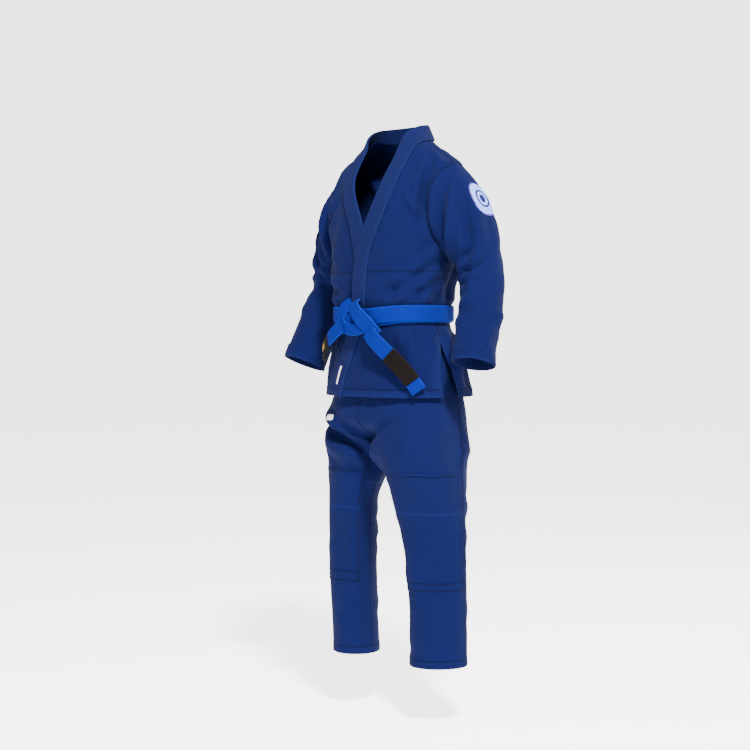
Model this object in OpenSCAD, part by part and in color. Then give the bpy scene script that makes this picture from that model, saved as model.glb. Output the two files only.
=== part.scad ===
// Martial arts uniform: jacket, trousers and tied belt, shaped as they hang on a standing wearer.
// Heights are measured from the floor that the wearer stands on; placed() moves the row's origin
// to the middle of the waist, at the height of the belt. +X is the wearer's left, -Y the front.

/* [Stance] */
// Height of the belt's middle above the floor, which sets the origin
belt_h = 1055; // [1050:1:1060]
// Height of the highest point of the shoulders, where the sleeves swing
shoulder_h = 1478; // [1476:1:1480]
// Height of the crotch, where the legs start
crotch_h = 700; // [698:1:704]
// Height of the fold behind the knee
knee_h = 480; // [470:1:500]

/* [Cloth] */
// Thickness of the jacket's and trousers' cloth with its air, as one wall
wall = 3; // [2.4:0.2:3.2]
// Thickness of tapes, patches and linings
tape = 1.4; // [1:0.1:1.6]
// Space between two cloth layers
ease = 0.8; // [0.7:0.1:0.9]
// Width of the lapel band
lapel_w = 46; // [40:1:50]
// Thickness of the lapel band, cover and core together
lapel_t = 7; // [5:0.5:8]

/* [Jacket] */
// Height of the jacket's hem
hem_h = 850; // [840:1:860]
// Height of the seam across the chest and back
chest_seam_h = 1177; // [1150:1:1200]
// Height of the top of the side vents
vent_h = 1000; // [960:1:1020]

/* [Belt] */
// Width of the belt
belt_w = 44; // [40:1:46]
// Thickness of the belt
belt_t = 4; // [3:0.5:4.5]

/* [Hidden] */
cloth = "#1c3a94";
belt_blue = "#0d5fd0";
gap = 1; // between the two sides of a joint
layer = 1.8; // between a panel's facets and a tape or patch sewn to it
roundness = 2.4; // of the body's sections: 2 is an ellipse
armhole_c = [30, shoulder_h - 136]; // y and z of the armhole's middle
armhole_r = [88, 121]; // half its depth and half its height
seat_split_h = 845; // where the legs' hips part from the seat
waist_top_z = 1065; // the trousers' upper edge
waistband_h = 40;
leg_facets = 28;

// ---- lines and surfaces ----

function unit(v) = v / norm(v);
function spow(x, k) = sign(x) * pow(abs(x), k);
function steps(low, high, n) = [for (i = [0:n]) low + (high - low) * i / n];
function mirror_x(p) = [-p[0], p[1], p[2]];

// A section is [middle, across, along, half across, half along, roundness, turn].
function section(c, u, v, hu, hv, p = roundness, turn = 0) = [c, u, v, hu, hv, p, turn];
function section_point(s, t, off = 0) =
    let (a = t - s[6], u = cos(s[6]) * s[1] + sin(s[6]) * s[2], v = cos(s[6]) * s[2] - sin(s[6]) * s[1])
    s[0] + u * (s[3] + off) * spow(cos(a), 2 / s[5]) + v * (s[4] + off) * spow(sin(a), 2 / s[5]);

// The jacket's outer surface at each height: half width, front and back.
jacket_half = [[850, 208], [905, 196], [960, 182], [1010, 168], [1055, 160], [1105, 168], [1190, 182],
               [1290, 190], [1380, 194], [1435, 194], [1462, 188], [1484, 158], [1508, 118], [1535, 82]];
jacket_front = [[850, -142], [905, -137], [960, -132], [1010, -129], [1055, -128], [1105, -132],
                [1190, -134], [1290, -132], [1340, -124], [1380, -112], [1435, -88], [1462, -70], [1484, -56], [1508, -43],
                [1535, -26]];
jacket_back = [[850, 178], [905, 160], [960, 144], [1010, 128], [1055, 122], [1105, 128], [1190, 140],
               [1290, 150], [1380, 150], [1435, 140], [1462, 130], [1484, 119], [1508, 108], [1535, 96]];
function ring_of(z, half, front, back) =
    let (f = lookup(z, front), b = lookup(z, back))
    section([0, (f + b) / 2, z], [1, 0, 0], [0, 1, 0], lookup(z, half), (b - f) / 2);
function jacket_ring(z) = ring_of(z, jacket_half, jacket_front, jacket_back);

// The trousers' seat, from the crotch to the waist.
seat_half = [[700, 206], [760, 210], [810, 204], [850, 192], [905, 178], [960, 164], [1010, 150],
             [1065, 143]];
seat_front = [[700, -134], [760, -134], [810, -128], [850, -120], [905, -113], [960, -106],
              [1010, -101], [1065, -100]];
seat_back = [[700, 138], [760, 150], [810, 152], [850, 150], [905, 138], [960, 124], [1010, 113],
             [1065, 110]];
function seat_ring(z) = ring_of(z, seat_half, seat_front, seat_back);

// The angle of the front surface at a given x, and of either surface at a given y.
function angle_at_x(s, x) = -acos(max(-1, min(1, spow(x / s[3], s[5] / 2))));
function angle_at_y(s, y) = asin(max(-1, min(1, spow((y - s[0][1]) / s[4], s[5] / 2))));
function front_y(x, z, off = 0) =
    let (s = jacket_ring(z), k = min(1, abs(x) / s[3]))
    s[0][1] - (s[4] + off) * pow(1 - pow(k, s[5]), 1 / s[5]);
function front_point(x, z, off = 0) =
    let (d = 4, dx = (front_y(x + d, z) - front_y(x - d, z)) / (2 * d),
         dz = (front_y(x, z + d) - front_y(x, z - d)) / (2 * d), n = unit([dx, -1, dz]))
    [[x, front_y(x, z), z] + n * off, n];

// A closed solid between two grids of points with the same rows and columns.
module skin(outer, inner, closed = false) {
    rows = len(outer);
    cols = len(outer[0]);
    last = closed ? cols : cols - 1;
    n = rows * cols;
    function at(i, j) = i * cols + j % cols;
    faces = concat(
        [for (i = [0:rows - 2], j = [0:last - 1]) each [
            [at(i, j), at(i + 1, j), at(i + 1, j + 1)], [at(i, j), at(i + 1, j + 1), at(i, j + 1)],
            [n + at(i, j), n + at(i + 1, j + 1), n + at(i + 1, j)],
            [n + at(i, j), n + at(i, j + 1), n + at(i + 1, j + 1)]]],
        [for (j = [0:last - 1]) each [
            [at(0, j), at(0, j + 1), n + at(0, j + 1)], [at(0, j), n + at(0, j + 1), n + at(0, j)],
            [at(rows - 1, j + 1), at(rows - 1, j), n + at(rows - 1, j)],
            [at(rows - 1, j + 1), n + at(rows - 1, j), n + at(rows - 1, j + 1)]]],
        closed ? [] : [for (i = [0:rows - 2]) each [
            [at(i + 1, 0), at(i, 0), n + at(i, 0)], [at(i + 1, 0), n + at(i, 0), n + at(i + 1, 0)],
            [at(i, cols - 1), at(i + 1, cols - 1), n + at(i + 1, cols - 1)],
            [at(i, cols - 1), n + at(i + 1, cols - 1), n + at(i, cols - 1)]]]);
    polyhedron([for (row = outer) each row, for (row = inner) each row], faces);
}

// A panel of cloth on a row of sections, from one angle to another on each. With crossing set, it
// sinks below the surface towards the middle, as the right front does under the left one.
module panel(sections, starts, ends, off = 0, thick = wall, cols = 10, crossing = false) {
    function grid(o) = [for (i = [0:len(sections) - 1]) [for (t = steps(starts[i], ends[i], cols))
        section_point(sections[i], t, o + (crossing ? under(section_point(sections[i], t)[0]) : 0))]];
    skin(grid(off), grid(off - thick));
}

module tube(sections, off = 0, thick = wall, facets = leg_facets) {
    function grid(o) = [for (s = sections) [for (j = [0:facets - 1]) section_point(s, 360 * j / facets, o)]];
    skin(grid(off), grid(off - thick), closed = true);
}

// A flat band along a line of [point, normal], with its width in the surface.
function band_ring(line, i, w, t, low) =
    let (a = line[max(0, i - 1)][0], b = line[min(len(line) - 1, i + 1)][0], n = unit(line[i][1]),
         side = unit(cross(unit(b - a), n)), c = line[i][0] + n * low)
    [c - side * w / 2, c + side * w / 2, c + side * w / 2 + n * t, c - side * w / 2 + n * t];
module band(line, w, t, low = 0) {
    rings = [for (i = [0:len(line) - 1]) band_ring(line, i, w, t, low)];
    last = len(rings) - 1;
    polyhedron([for (r = rings) each r], concat([[0, 1, 2], [0, 2, 3]],
        [for (i = [0:last - 1], j = [0:3]) let (k = (j + 1) % 4) each [
            [4 * i + j, 4 * i + 4 + j, 4 * i + 4 + k], [4 * i + j, 4 * i + 4 + k, 4 * i + k]]],
        [[4 * last, 4 * last + 3, 4 * last + 2], [4 * last, 4 * last + 2, 4 * last + 1]]));
}

// The same band as a closed cover round a core.
module hollow_band(line, w, t, skin_t) {
    outer = [for (i = [0:len(line) - 1]) band_ring(line, i, w, t, 0)];
    inner = [for (i = [0:len(line) - 1]) band_ring(line, i, w - 2 * skin_t, t - 2 * skin_t, skin_t)];
    skin(inner, outer, closed = true);
}

function cut_line(line, from, to) = [for (i = [from:to]) line[i]];

module placed() {
    translate([0, 0, -belt_h]) children();
}

// ---- jacket body ----

body_rows = [chest_seam_h, 1225, 1265, 1305, 1350, 1395, 1435, 1462, 1484, 1502];
skirt_rows = [hem_h, 905, 960, 1010, 1055, 1105, chest_seam_h - gap];
skirt_from = 5; // degrees from the side to the open edge of the back skirt
back_split_h = 1012; // the fold of the back skirt, just under the belt
lapel_lift = 2; // of the lapel band over the cloth it lies on
// From a lapel's middle to where the front's cloth ends under it; more where the band turns to the neck.
tuck_rows = [[1470, 15], [1500, 25]];
band_rise = 2.4; // of a flat band's edges off the rounded cloth under it
under_depth = wall + lapel_t + lapel_lift + band_rise + ease; // the right front, inside the left one
under_x = [-130, -20]; // it leaves the surface at the first and is this deep from the second
function smooth(k) = let (c = max(0, min(1, k))) c * c * (3 - 2 * c);
function under(x) = -under_depth * smooth((x - under_x[0]) / (under_x[1] - under_x[0]));

// Where each front ends beside its lapel: x at each height.
left_edge = [[850, -80], [905, -66], [960, -44], [1000, -28], [1055, -8], [1105, 2], [1180, 10], [1234, 22],
             [1287, 44], [1339, 62], [1393, 75], [1445, 82], [1490, 82], [1535, 76]];
right_edge = [[850, 82], [960, 60], [1055, 44], [1105, 34], [1160, 18], [1222, 2], [1283, -15], [1353, -45],
              [1422, -75], [1480, -84], [1535, -76]];
armhole_outline = [for (z = body_rows)
    let (k = (z - armhole_c[1]) / armhole_r[1]) [z, abs(k) >= 1 ? 0 : armhole_r[0] * sqrt(1 - k * k)]];
function armhole_reach(z) = lookup(z, armhole_outline);
function side_angle(z, way) =
    let (s = jacket_ring(z), r = armhole_reach(z))
    r == 0 ? way * 0.3 : angle_at_y(s, armhole_c[0] + way * r);

module front_panel(rows) {
    rings = [for (z = rows) jacket_ring(z)];
    panel(rings, [for (z = rows) angle_at_x(jacket_ring(z), lookup(z, left_edge) + lookup(z, tuck_rows))],
          [for (z = rows) min(-0.3, side_angle(z, -1))]);
}
module right_front_panel(rows) {
    rings = [for (z = rows) jacket_ring(z)];
    panel(rings, [for (z = rows) -180 - min(-0.3, side_angle(z, -1))],
          [for (z = rows) angle_at_x(jacket_ring(z), lookup(z, right_edge) - tuck_rows[0][1])],
          crossing = true);
}
module back_panel(rows, from = 0.3) {
    rings = [for (z = rows) jacket_ring(z)];
    panel(rings, [for (z = rows) max(from, side_angle(z, 1))],
          [for (z = rows) 180 - max(from, side_angle(z, 1))], 0, cols = 18);
}
module jacket_back_upper() { color(cloth) back_panel(body_rows); }
module jacket_back_lower() { color(cloth) back_panel([back_split_h + gap, 1055, 1105, chest_seam_h - gap]); }
module back_skirt() { color(cloth) back_panel([hem_h, 905, 960, back_split_h], skirt_from); }
module jacket_left_chest() { color(cloth) front_panel(body_rows); }
module jacket_left_front_lower() { color(cloth) front_panel(skirt_rows); }
module jacket_right_chest() { color(cloth) right_front_panel(body_rows); }
module jacket_right_front_lower() { color(cloth) right_front_panel(skirt_rows); }

// Tapes and patches inside the jacket lie under the cloth they are sewn to.
hem_rows = [hem_h + 0.5, hem_h + 16, hem_h + 32];
module back_hem_tape() {
    color(cloth) panel([for (z = hem_rows) jacket_ring(z)], [for (z = hem_rows) 8], [for (z = hem_rows) 172],
        -wall - layer, tape, cols = 16);
}
module left_front_hem_tape() {
    color(cloth) panel([for (z = hem_rows) jacket_ring(z)],
        [for (z = hem_rows) angle_at_x(jacket_ring(z), 120)], [for (z = hem_rows) -6],
        -wall - layer, tape, cols = 6);
}
module right_front_hem_tape() {
    color(cloth) panel([for (z = hem_rows) jacket_ring(z)],
        [for (z = hem_rows) -174], [for (z = hem_rows) angle_at_x(jacket_ring(z), 60)],
        -wall - layer, tape, cols = 12, crossing = true);
}
vent_rows = [905, 950, vent_h];
vent_patch_w = 13; // degrees round the body to a patch's far edge
module vent_patch(from, to) {
    rings = [for (z = vent_rows) jacket_ring(z)];
    color(cloth) panel(rings, [for (z = vent_rows) from], [for (z = vent_rows) to],
        -wall - layer, tape, cols = 3);
}
module left_vent_front_patch() { vent_patch(-vent_patch_w, -1); }
module left_vent_back_patch() { vent_patch(skirt_from + 1, vent_patch_w); }
module right_vent_front_patch() { vent_patch(181, 180 + vent_patch_w); }
module right_vent_back_patch() { vent_patch(180 - vent_patch_w, 179 - skirt_from); }

lining_rows = [1395, 1435, 1462, 1484];
module shoulder_lining(way) {
    // A second layer of cloth inside the shoulder, on the back panel.
    rings = [for (z = lining_rows) jacket_ring(z)];
    start = [for (z = lining_rows) max(2, side_angle(z, 1) + 2)];
    stop = [62, 62, 60, 56];
    color(cloth) panel(rings, way > 0 ? start : [for (t = stop) 180 - t],
        way > 0 ? stop : [for (t = start) 180 - t], -wall - 2 * layer, tape, cols = 6);
}
module left_shoulder_lining() { shoulder_lining(1); }
module right_shoulder_lining() { shoulder_lining(-1); }

// ---- lapel ----

// Round the neck the band stands up; down the fronts it lies on the cloth beside each edge.
neck_line = [
    [[0, 97, 1549], [0, 1, 0.25]], [[42, 90, 1547], [0.5, 0.85, 0.3]], [[72, 62, 1540], [0.85, 0.45, 0.4]],
    [[84, 24, 1526], [0.95, -0.05, 0.5]]
];
left_rows = [1500, 1472, 1445, 1418, 1393, 1366, 1339, 1313, 1287, 1260, 1234, 1205, 1177, 1140, 1105, 1080, 1055, 1030,
             1000, 960, 905, 851];
right_rows = [1500, 1472, 1450, 1422, 1388, 1353, 1318, 1283, 1252, 1222, 1190, 1160, 1130, 1105, 1080, 1055, 1030,
              1000, 960, 905, 851];
left_front_line = [for (z = left_rows) front_point(lookup(z, left_edge), z, lapel_lift)];
right_front_line = [for (z = right_rows) let (x = lookup(z, right_edge))
    front_point(x, z, under(x) + lapel_lift)];
function flip(line) = [for (i = [len(line) - 1:-1:0]) line[i]];
function mirrored(line) = [for (p = line) [mirror_x(p[0]), mirror_x(p[1])]];
lapel_line = concat(flip(right_front_line), flip(mirrored([for (i = [1:len(neck_line) - 1]) neck_line[i]])),
                    neck_line, left_front_line);
cover_t = 1.6;
core_line = cut_line(lapel_line, 1, len(lapel_line) - 2);
module lapel_cover() { color(cloth) hollow_band(lapel_line, lapel_w, lapel_t, cover_t); }
module lapel_core() {
    color("#202022") band(core_line, lapel_w - 14, lapel_t - 2 * cover_t - 1, cover_t + 0.5);
}

label_z = [872, 888, 904, 920, 936];
module lapel_label() {
    line = [for (z = label_z) front_point(lookup(z, left_edge) - 2, z, lapel_t + lapel_lift + 1)];
    color("#15208c") band(line, 26, 1, 0);
}

// ---- sleeves ----

// The rows above the elbow go from the armpit to the shoulder's top: [armpit x, z, outer x, z, y, half depth].
cap = [[188, 1214, 196, 1452, 30, 88], [200, 1204, 234, 1426, 33, 84], [207, 1192, 268, 1376, 38, 76],
       [210, 1176, 301, 1302, 43, 67], [213, 1155, 322, 1222, 46, 60]];
// The rows below it are [middle, way the sleeve runs, half width, half depth].
left_forearm = [
    [[274, 46, 1141], [0.12, -0.12, -0.985], 56, 58], [[279, 38, 1085], [0.12, -0.25, -0.96], 55, 57],
    [[286, 14, 1010], [0.1, -0.3, -0.95], 54, 56], [[293, -8, 938], [0.1, -0.3, -0.95], 56, 58]
];
right_forearm = [
    [[-273, 30, 1141], [-0.12, -0.2, -0.97], 56, 58], [[-281, 8, 1085], [-0.12, -0.33, -0.93], 55, 57],
    [[-290, -22, 1010], [-0.12, -0.36, -0.92], 54, 56], [[-302, -54, 932], [-0.12, -0.36, -0.92], 56, 58]
];
function arm_section(r, along = 0) =
    let (n = unit(r[1]), u = unit(cross([0, 1, 0], n)), v = cross(n, u))
    section(r[0] + n * along, u, v, r[2], r[3], 2.1);
function cap_row(way, r, y) =
    [[way * (r[0] + r[2]) / 2, y, (r[1] + r[3]) / 2], [way * (r[3] - r[1]), 0, r[0] - r[2]],
     norm([r[2] - r[0], r[3] - r[1]]) / 2, r[5]];
// The right arm is carried further forward than the left one.
function cap_y(way, i) = cap[i][4] - (way > 0 ? 0 : 4 * i);
function cap_sections(way, rows) = [for (i = rows) arm_section(cap_row(way, cap[i], cap_y(way, i)))];
// The sleeve's first row sits in the armhole, level with the body's cloth.
function armhole_ring(way, inset) = [for (j = [0:leg_facets - 1])
    let (t = 360 * j / leg_facets, h = armhole_r[1] - 2 - inset, z = armhole_c[1] - way * h * cos(t),
         y = armhole_c[0] + sign(sin(t)) * max(0.5, armhole_reach(z) - 2 - inset), s = jacket_ring(z),
         k = abs(y - s[0][1]) / s[4])
    [way * s[3] * pow(1 - pow(k, s[5]), 1 / s[5]), y, z]];
function section_ring(s, off) = [for (j = [0:leg_facets - 1]) section_point(s, 360 * j / leg_facets, off)];
module upper_sleeve(way, forearm) {
    rings = concat(cap_sections(way, [1:4]), [arm_section(forearm[0])]);
    color(cloth) skin(concat([armhole_ring(way, 0)], [for (s = rings) section_ring(s, 0)]),
        concat([armhole_ring(way, wall)], [for (s = rings) section_ring(s, -wall)]), closed = true);
}
module lower_sleeve(forearm) {
    color(cloth) tube([for (i = [0:len(forearm) - 1]) arm_section(forearm[i], i == 0 ? gap : 0)]);
}
module left_sleeve_upper() { upper_sleeve(1, left_forearm); }
module right_sleeve_upper() { upper_sleeve(-1, right_forearm); }
module left_sleeve_lower() { lower_sleeve(left_forearm); }
module right_sleeve_lower() { lower_sleeve(right_forearm); }
module cuff_tape(forearm) {
    last = forearm[len(forearm) - 1];
    color(cloth) tube([for (d = [-30, -1]) arm_section(last, d)], -wall - layer, tape);
}
module left_cuff_tape() { cuff_tape(left_forearm); }
module right_cuff_tape() { cuff_tape(right_forearm); }
// A second layer sewn inside the sleeve where it meets the side of the body.
module armpit_gusset(way) {
    middle = way > 0 ? 0 : 180;
    rings = cap_sections(way, [2:4]);
    color(cloth) panel(rings, [for (s = rings) middle - 40], [for (s = rings) middle + 40],
        -wall - layer, tape, cols = 6);
}
module left_armpit_gusset() { armpit_gusset(1); }
module right_armpit_gusset() { armpit_gusset(-1); }
// An oval badge on the outside of the left upper arm.
module sleeve_badge() {
    color("#b9cdf2") panel(cap_sections(1, [2:4]), [178, 162, 178], [206, 222, 206], layer + 1.2, 1.2, cols = 6);
}

// ---- trousers ----

seat_rows = [seat_split_h, 905, 960, 1010, waist_top_z];
module trousers_seat() { color(cloth) tube([for (z = seat_rows) seat_ring(z)], facets = 36); }
band_rows = [waist_top_z - waistband_h, waist_top_z - 1];
module waistband() {
    color(cloth) tube([for (z = band_rows) seat_ring(z)], -wall - layer, tape + 0.6, facets = 36);
}
module on_seat(x, z, off) {
    s = seat_ring(z);
    translate([x, section_point(s, angle_at_x(s, x), off)[1], z]) rotate([90, 0, 0]) children();
}
module waistband_eyelets() {
    color(cloth) for (x = [-26, 26]) on_seat(x, waist_top_z - 20, 0.3) difference() {
        cylinder(h = 1.2, r = 7, $fn = 40);
        translate([0, 0, -1]) cylinder(h = 4, r = 3.5, $fn = 40);
    }
}
module drawstring_loops() {
    // Narrow loops of tape below the waistband that carry the drawstring.
    color(cloth) for (x = [-62, -40, 40, 62]) on_seat(x, waist_top_z - 62, 3) translate([-5, -14, 0])
        difference() {
            cube([10, 28, 4]);
            translate([-1, 3, 1.2]) cube([12, 22, 1.8]);
        }
}
// The hips are the two halves of the seat that move with the legs.
hip_rows = [crotch_h + gap, 730, 770, 810, seat_split_h - gap];
module hip_panel(middle) {
    rings = [for (z = hip_rows) seat_ring(z)];
    color(cloth) panel(rings, [for (z = hip_rows) middle - 89.6], [for (z = hip_rows) middle + 89.6],
        cols = 18);
}
module left_hip_panel() { hip_panel(0); }
module right_hip_panel() { hip_panel(180); }

// Each row is [height, x, y, half width, half depth, turn of the long side].
left_leg = [
    [crotch_h, 104, 0, 102, 138, 0], [672, 106, 2, 99, 126, 10], [640, 111, 4, 97, 112, 25],
    [580, 120, 6, 92, 92, 40], [520, 128, 8, 86, 76, 45], [knee_h, 133, 9, 82, 69, 45], [400, 138, 10, 79, 65, 45],
    [300, 144, 9, 76, 64, 45], [220, 147, 8, 74, 64, 45], [150, 150, 8, 73, 64, 45]
];
right_leg = [
    [crotch_h, -104, 0, 102, 138, 0], [672, -107, -1, 99, 126, -10], [640, -112, -3, 97, 112, -25],
    [580, -122, -6, 92, 90, -40], [520, -132, -9, 86, 74, -45], [knee_h, -137, -11, 82, 67, -45],
    [400, -142, -13, 79, 65, -45],
    [300, -145, -8, 76, 64, -45], [220, -146, -3, 74, 64, -45], [148, -147, 1, 73, 64, -45]
];
knee_row = 5;
function leg_section(r, drop = 0) =
    section([r[1], r[2], r[0] - drop], [1, 0, 0], [0, 1, 0], r[3], r[4], r[0] == crotch_h ? 2.7 : 2.1, r[5]);
function upper_leg(leg) = [for (i = [0:knee_row]) leg_section(leg[i])];
function lower_leg(leg) = [for (i = [knee_row:len(leg) - 1]) leg_section(leg[i], i == knee_row ? gap : 0)];
module left_leg_upper() { color(cloth) tube(upper_leg(left_leg)); }
module right_leg_upper() { color(cloth) tube(upper_leg(right_leg)); }
module left_leg_lower() { color(cloth) tube(lower_leg(left_leg)); }
module right_leg_lower() { color(cloth) tube(lower_leg(right_leg)); }
module knee_patch(sections, start) {
    color(cloth) panel(sections, [for (s = sections) start], [for (s = sections) start + 130],
        tape + layer, tape, cols = 10);
}
patch_rows = 2; // rows of the leg that a patch covers beyond the knee
module knee_patch_upper(leg, start) {
    knee_patch([for (i = [patch_rows:knee_row]) leg_section(leg[i])], start);
}
module knee_patch_lower(leg, start) {
    knee_patch([for (i = [0:patch_rows]) leg_section(leg[knee_row + i], i == 0 ? gap : 0)], start);
}
module left_knee_patch_upper() { knee_patch_upper(left_leg, -145); }
module left_knee_patch_lower() { knee_patch_lower(left_leg, -145); }
module right_knee_patch_upper() { knee_patch_upper(right_leg, -165); }
module right_knee_patch_lower() { knee_patch_lower(right_leg, -165); }
ankle_tape_h = 32; // the tape lines the hem from its edge upwards
module ankle_tape(leg) {
    last = leg[len(leg) - 1];
    above = leg[len(leg) - 2];
    top = last + (above - last) * ankle_tape_h / (above[0] - last[0]);
    color(cloth) tube([leg_section(top), leg_section(last, -gap)], -wall - layer, tape);
}
module left_ankle_tape() { ankle_tape(left_leg); }
module right_ankle_tape() { ankle_tape(right_leg); }
// Half of the strip between the legs, sewn inside the top of one leg's inner side.
module crotch_gusset(way) {
    line = [for (y = steps(-84, 84, 8)) [[way * 22, y, crotch_h + 6 + 10 * pow(y / 84, 2)], [0, 0, 1]]];
    color(cloth) band(line, 30, tape, 0);
}
module crotch_gusset_left() { crotch_gusset(1); }
module crotch_gusset_right() { crotch_gusset(-1); }
module hip_label() {
    line = [for (z = [782, 789, 796]) [section_point(seat_ring(z), -122, 2.6), [-0.36, -0.93, 0]]];
    color("#d8dce6") band(line, 22, 1, 0);
}

// ---- belt ----

belt_tilt = 0.1; // the belt sits higher at the back
function belt_section(z, off) =
    let (s = jacket_ring(belt_h))
    section([0, s[0][1], z], [1, 0, 0], [0, 1, belt_tilt], s[3] + off, s[4] + off);
belt_off = lapel_t + lapel_lift + 1.8;
module belt_ring(off, drop) {
    color(belt_blue) tube([for (z = [-belt_w / 2, belt_w / 2]) belt_section(belt_h + z - drop, off)], belt_t,
        belt_t, facets = 40);
}
module belt_inner_wrap() { belt_ring(belt_off, 5); }
module belt_outer_wrap() { belt_ring(belt_off + belt_t + 0.4, -1); }
belt_front = jacket_ring(belt_h)[0][1] - jacket_ring(belt_h)[4] - belt_off - 2 * belt_t - 1.5;
knot_w = 84;
knot_h = 62;
knot_t = 18;
// The flat knot: two turns of the belt crossed over each other and pulled tight.
module belt_knot() {
    corner = 8;
    color(belt_blue) translate([-2, belt_front - knot_t / 2 - 0.5, belt_h - 8]) hull()
        for (x = [-1, 1], z = [-1, 1])
            translate([x * (knot_w / 2 - corner), 0, z * (knot_h / 2 - corner - 7 * (x * z + 1))])
                sphere(r = corner, $fn = 20);
}
tail_front = belt_front - 4;
left_tail_line = [
    [[72, tail_front, 1006], [0.15, -1, 0.1]], [[96, tail_front + 7, 982], [0.25, -1, 0.15]],
    [[122, tail_front + 19, 955], [0.4, -1, 0.15]], [[146, tail_front + 33, 927], [0.55, -1, 0.1]],
    [[166, tail_front + 48, 898], [0.7, -1, 0.05]], [[182, tail_front + 62, 868], [0.8, -1, 0]]
];
tail_t = 4.4; // a padded end of the belt
right_tail_line = [
    [[-50, tail_front - 2, 1030], [-0.2, -1, 0.1]], [[-74, tail_front - 2, 1014], [-0.3, -1, 0.1]],
    [[-98, tail_front + 3, 998], [-0.5, -1, 0.1]], [[-120, tail_front + 13, 983], [-0.7, -1, 0.05]],
    [[-138, tail_front + 25, 969], [-0.9, -1, 0]], [[-151, tail_front + 37, 957], [-1, -1, 0]]
];
module tail(line) { color(belt_blue) hollow_band(line, belt_w - 4, tail_t, 1); }
module tail_core(line) {
    color("#e8e4da") band(cut_line(line, 1, len(line) - 2), belt_w - 10, tail_t - 2.4, 1.2);
}
module belt_left_tail() { tail(left_tail_line); }
module belt_right_tail() { tail(right_tail_line); }
module belt_left_tail_core() { tail_core(left_tail_line); }
module belt_right_tail_core() { tail_core(right_tail_line); }
function between(a, b, k) = [a[0] + (b[0] - a[0]) * k, a[1] + (b[1] - a[1]) * k];
rank_line = [between(left_tail_line[2], left_tail_line[3], 0.1), left_tail_line[3], left_tail_line[4],
             between(left_tail_line[4], left_tail_line[5], 0.1)];
module belt_rank_bar() { color("#26211d") band(rank_line, belt_w - 2, 0.9, tail_t + 0.8); }
module belt_label() {
    line = [right_tail_line[3], between(right_tail_line[3], right_tail_line[4], 0.5), right_tail_line[4]];
    color("#b98a2a") band(line, belt_w - 10, 0.9, tail_t + 0.8);
}

placed() jacket_back_upper();
placed() jacket_back_lower();
placed() back_skirt();
placed() jacket_left_chest();
placed() jacket_left_front_lower();
placed() jacket_right_chest();
placed() jacket_right_front_lower();
placed() lapel_cover();
placed() lapel_core();
placed() left_sleeve_upper();
placed() left_sleeve_lower();
placed() right_sleeve_upper();
placed() right_sleeve_lower();
placed() left_cuff_tape();
placed() right_cuff_tape();
placed() left_armpit_gusset();
placed() right_armpit_gusset();
placed() left_shoulder_lining();
placed() right_shoulder_lining();
placed() back_hem_tape();
placed() left_front_hem_tape();
placed() right_front_hem_tape();
placed() left_vent_front_patch();
placed() left_vent_back_patch();
placed() right_vent_front_patch();
placed() right_vent_back_patch();
placed() sleeve_badge();
placed() lapel_label();
placed() trousers_seat();
placed() waistband();
placed() waistband_eyelets();
placed() drawstring_loops();
placed() left_hip_panel();
placed() right_hip_panel();
placed() crotch_gusset_left();
placed() crotch_gusset_right();
placed() left_leg_upper();
placed() left_leg_lower();
placed() right_leg_upper();
placed() right_leg_lower();
placed() left_knee_patch_upper();
placed() left_knee_patch_lower();
placed() right_knee_patch_upper();
placed() right_knee_patch_lower();
placed() left_ankle_tape();
placed() right_ankle_tape();
placed() hip_label();
placed() belt_inner_wrap();
placed() belt_outer_wrap();
placed() belt_knot();
placed() belt_left_tail();
placed() belt_right_tail();
placed() belt_left_tail_core();
placed() belt_right_tail_core();
placed() belt_rank_bar();
placed() belt_label();
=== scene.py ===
import math

import bmesh
import bpy
import numpy as np
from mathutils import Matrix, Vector, noise
from mathutils.bvhtree import BVHTree


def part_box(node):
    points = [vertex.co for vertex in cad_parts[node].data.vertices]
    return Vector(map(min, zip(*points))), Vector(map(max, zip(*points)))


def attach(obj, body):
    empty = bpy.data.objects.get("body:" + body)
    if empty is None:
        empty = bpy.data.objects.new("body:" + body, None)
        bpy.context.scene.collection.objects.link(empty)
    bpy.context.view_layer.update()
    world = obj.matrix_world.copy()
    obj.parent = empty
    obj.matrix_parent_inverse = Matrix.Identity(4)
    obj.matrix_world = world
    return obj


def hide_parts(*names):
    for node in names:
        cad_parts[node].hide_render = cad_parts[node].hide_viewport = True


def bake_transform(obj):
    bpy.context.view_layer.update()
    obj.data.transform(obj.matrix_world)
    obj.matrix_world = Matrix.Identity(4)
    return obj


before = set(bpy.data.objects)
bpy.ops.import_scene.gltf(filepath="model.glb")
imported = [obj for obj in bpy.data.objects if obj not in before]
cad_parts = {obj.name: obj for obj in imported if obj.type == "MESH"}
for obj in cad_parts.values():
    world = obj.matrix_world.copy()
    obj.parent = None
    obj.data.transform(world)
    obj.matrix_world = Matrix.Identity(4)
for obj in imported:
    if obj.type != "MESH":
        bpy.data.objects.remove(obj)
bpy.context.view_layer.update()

# Heights below are above the floor the wearer stands on; LIFT moves them into the row's frame.
HEM_H = 0.850
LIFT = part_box("back_skirt")[0][2] - HEM_H
BELT_H = -LIFT
CHEST_SEAM_H = 1.177
SHOULDER_H = 1.463
NECK_H = 1.535
VENT_H = 1.000
CROTCH_H = 0.700
PATCH_TOP_H = 0.655  # the knee patch, its turned hem and its end
PATCH_FOLD_H = 0.372
PATCH_LOW_H = 0.345
KNEE_H = 0.550
HIP_LABEL = (-0.122, -0.114, 0.789)
CELL = 0.0065  # spacing of the cloth meshes
CLOTH_T = 0.0016
TAPE_T = 0.0012
PATCH_T = 0.0013
SEAM_T = 0.0008


# ---------- curves and surfaces ----------

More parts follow.
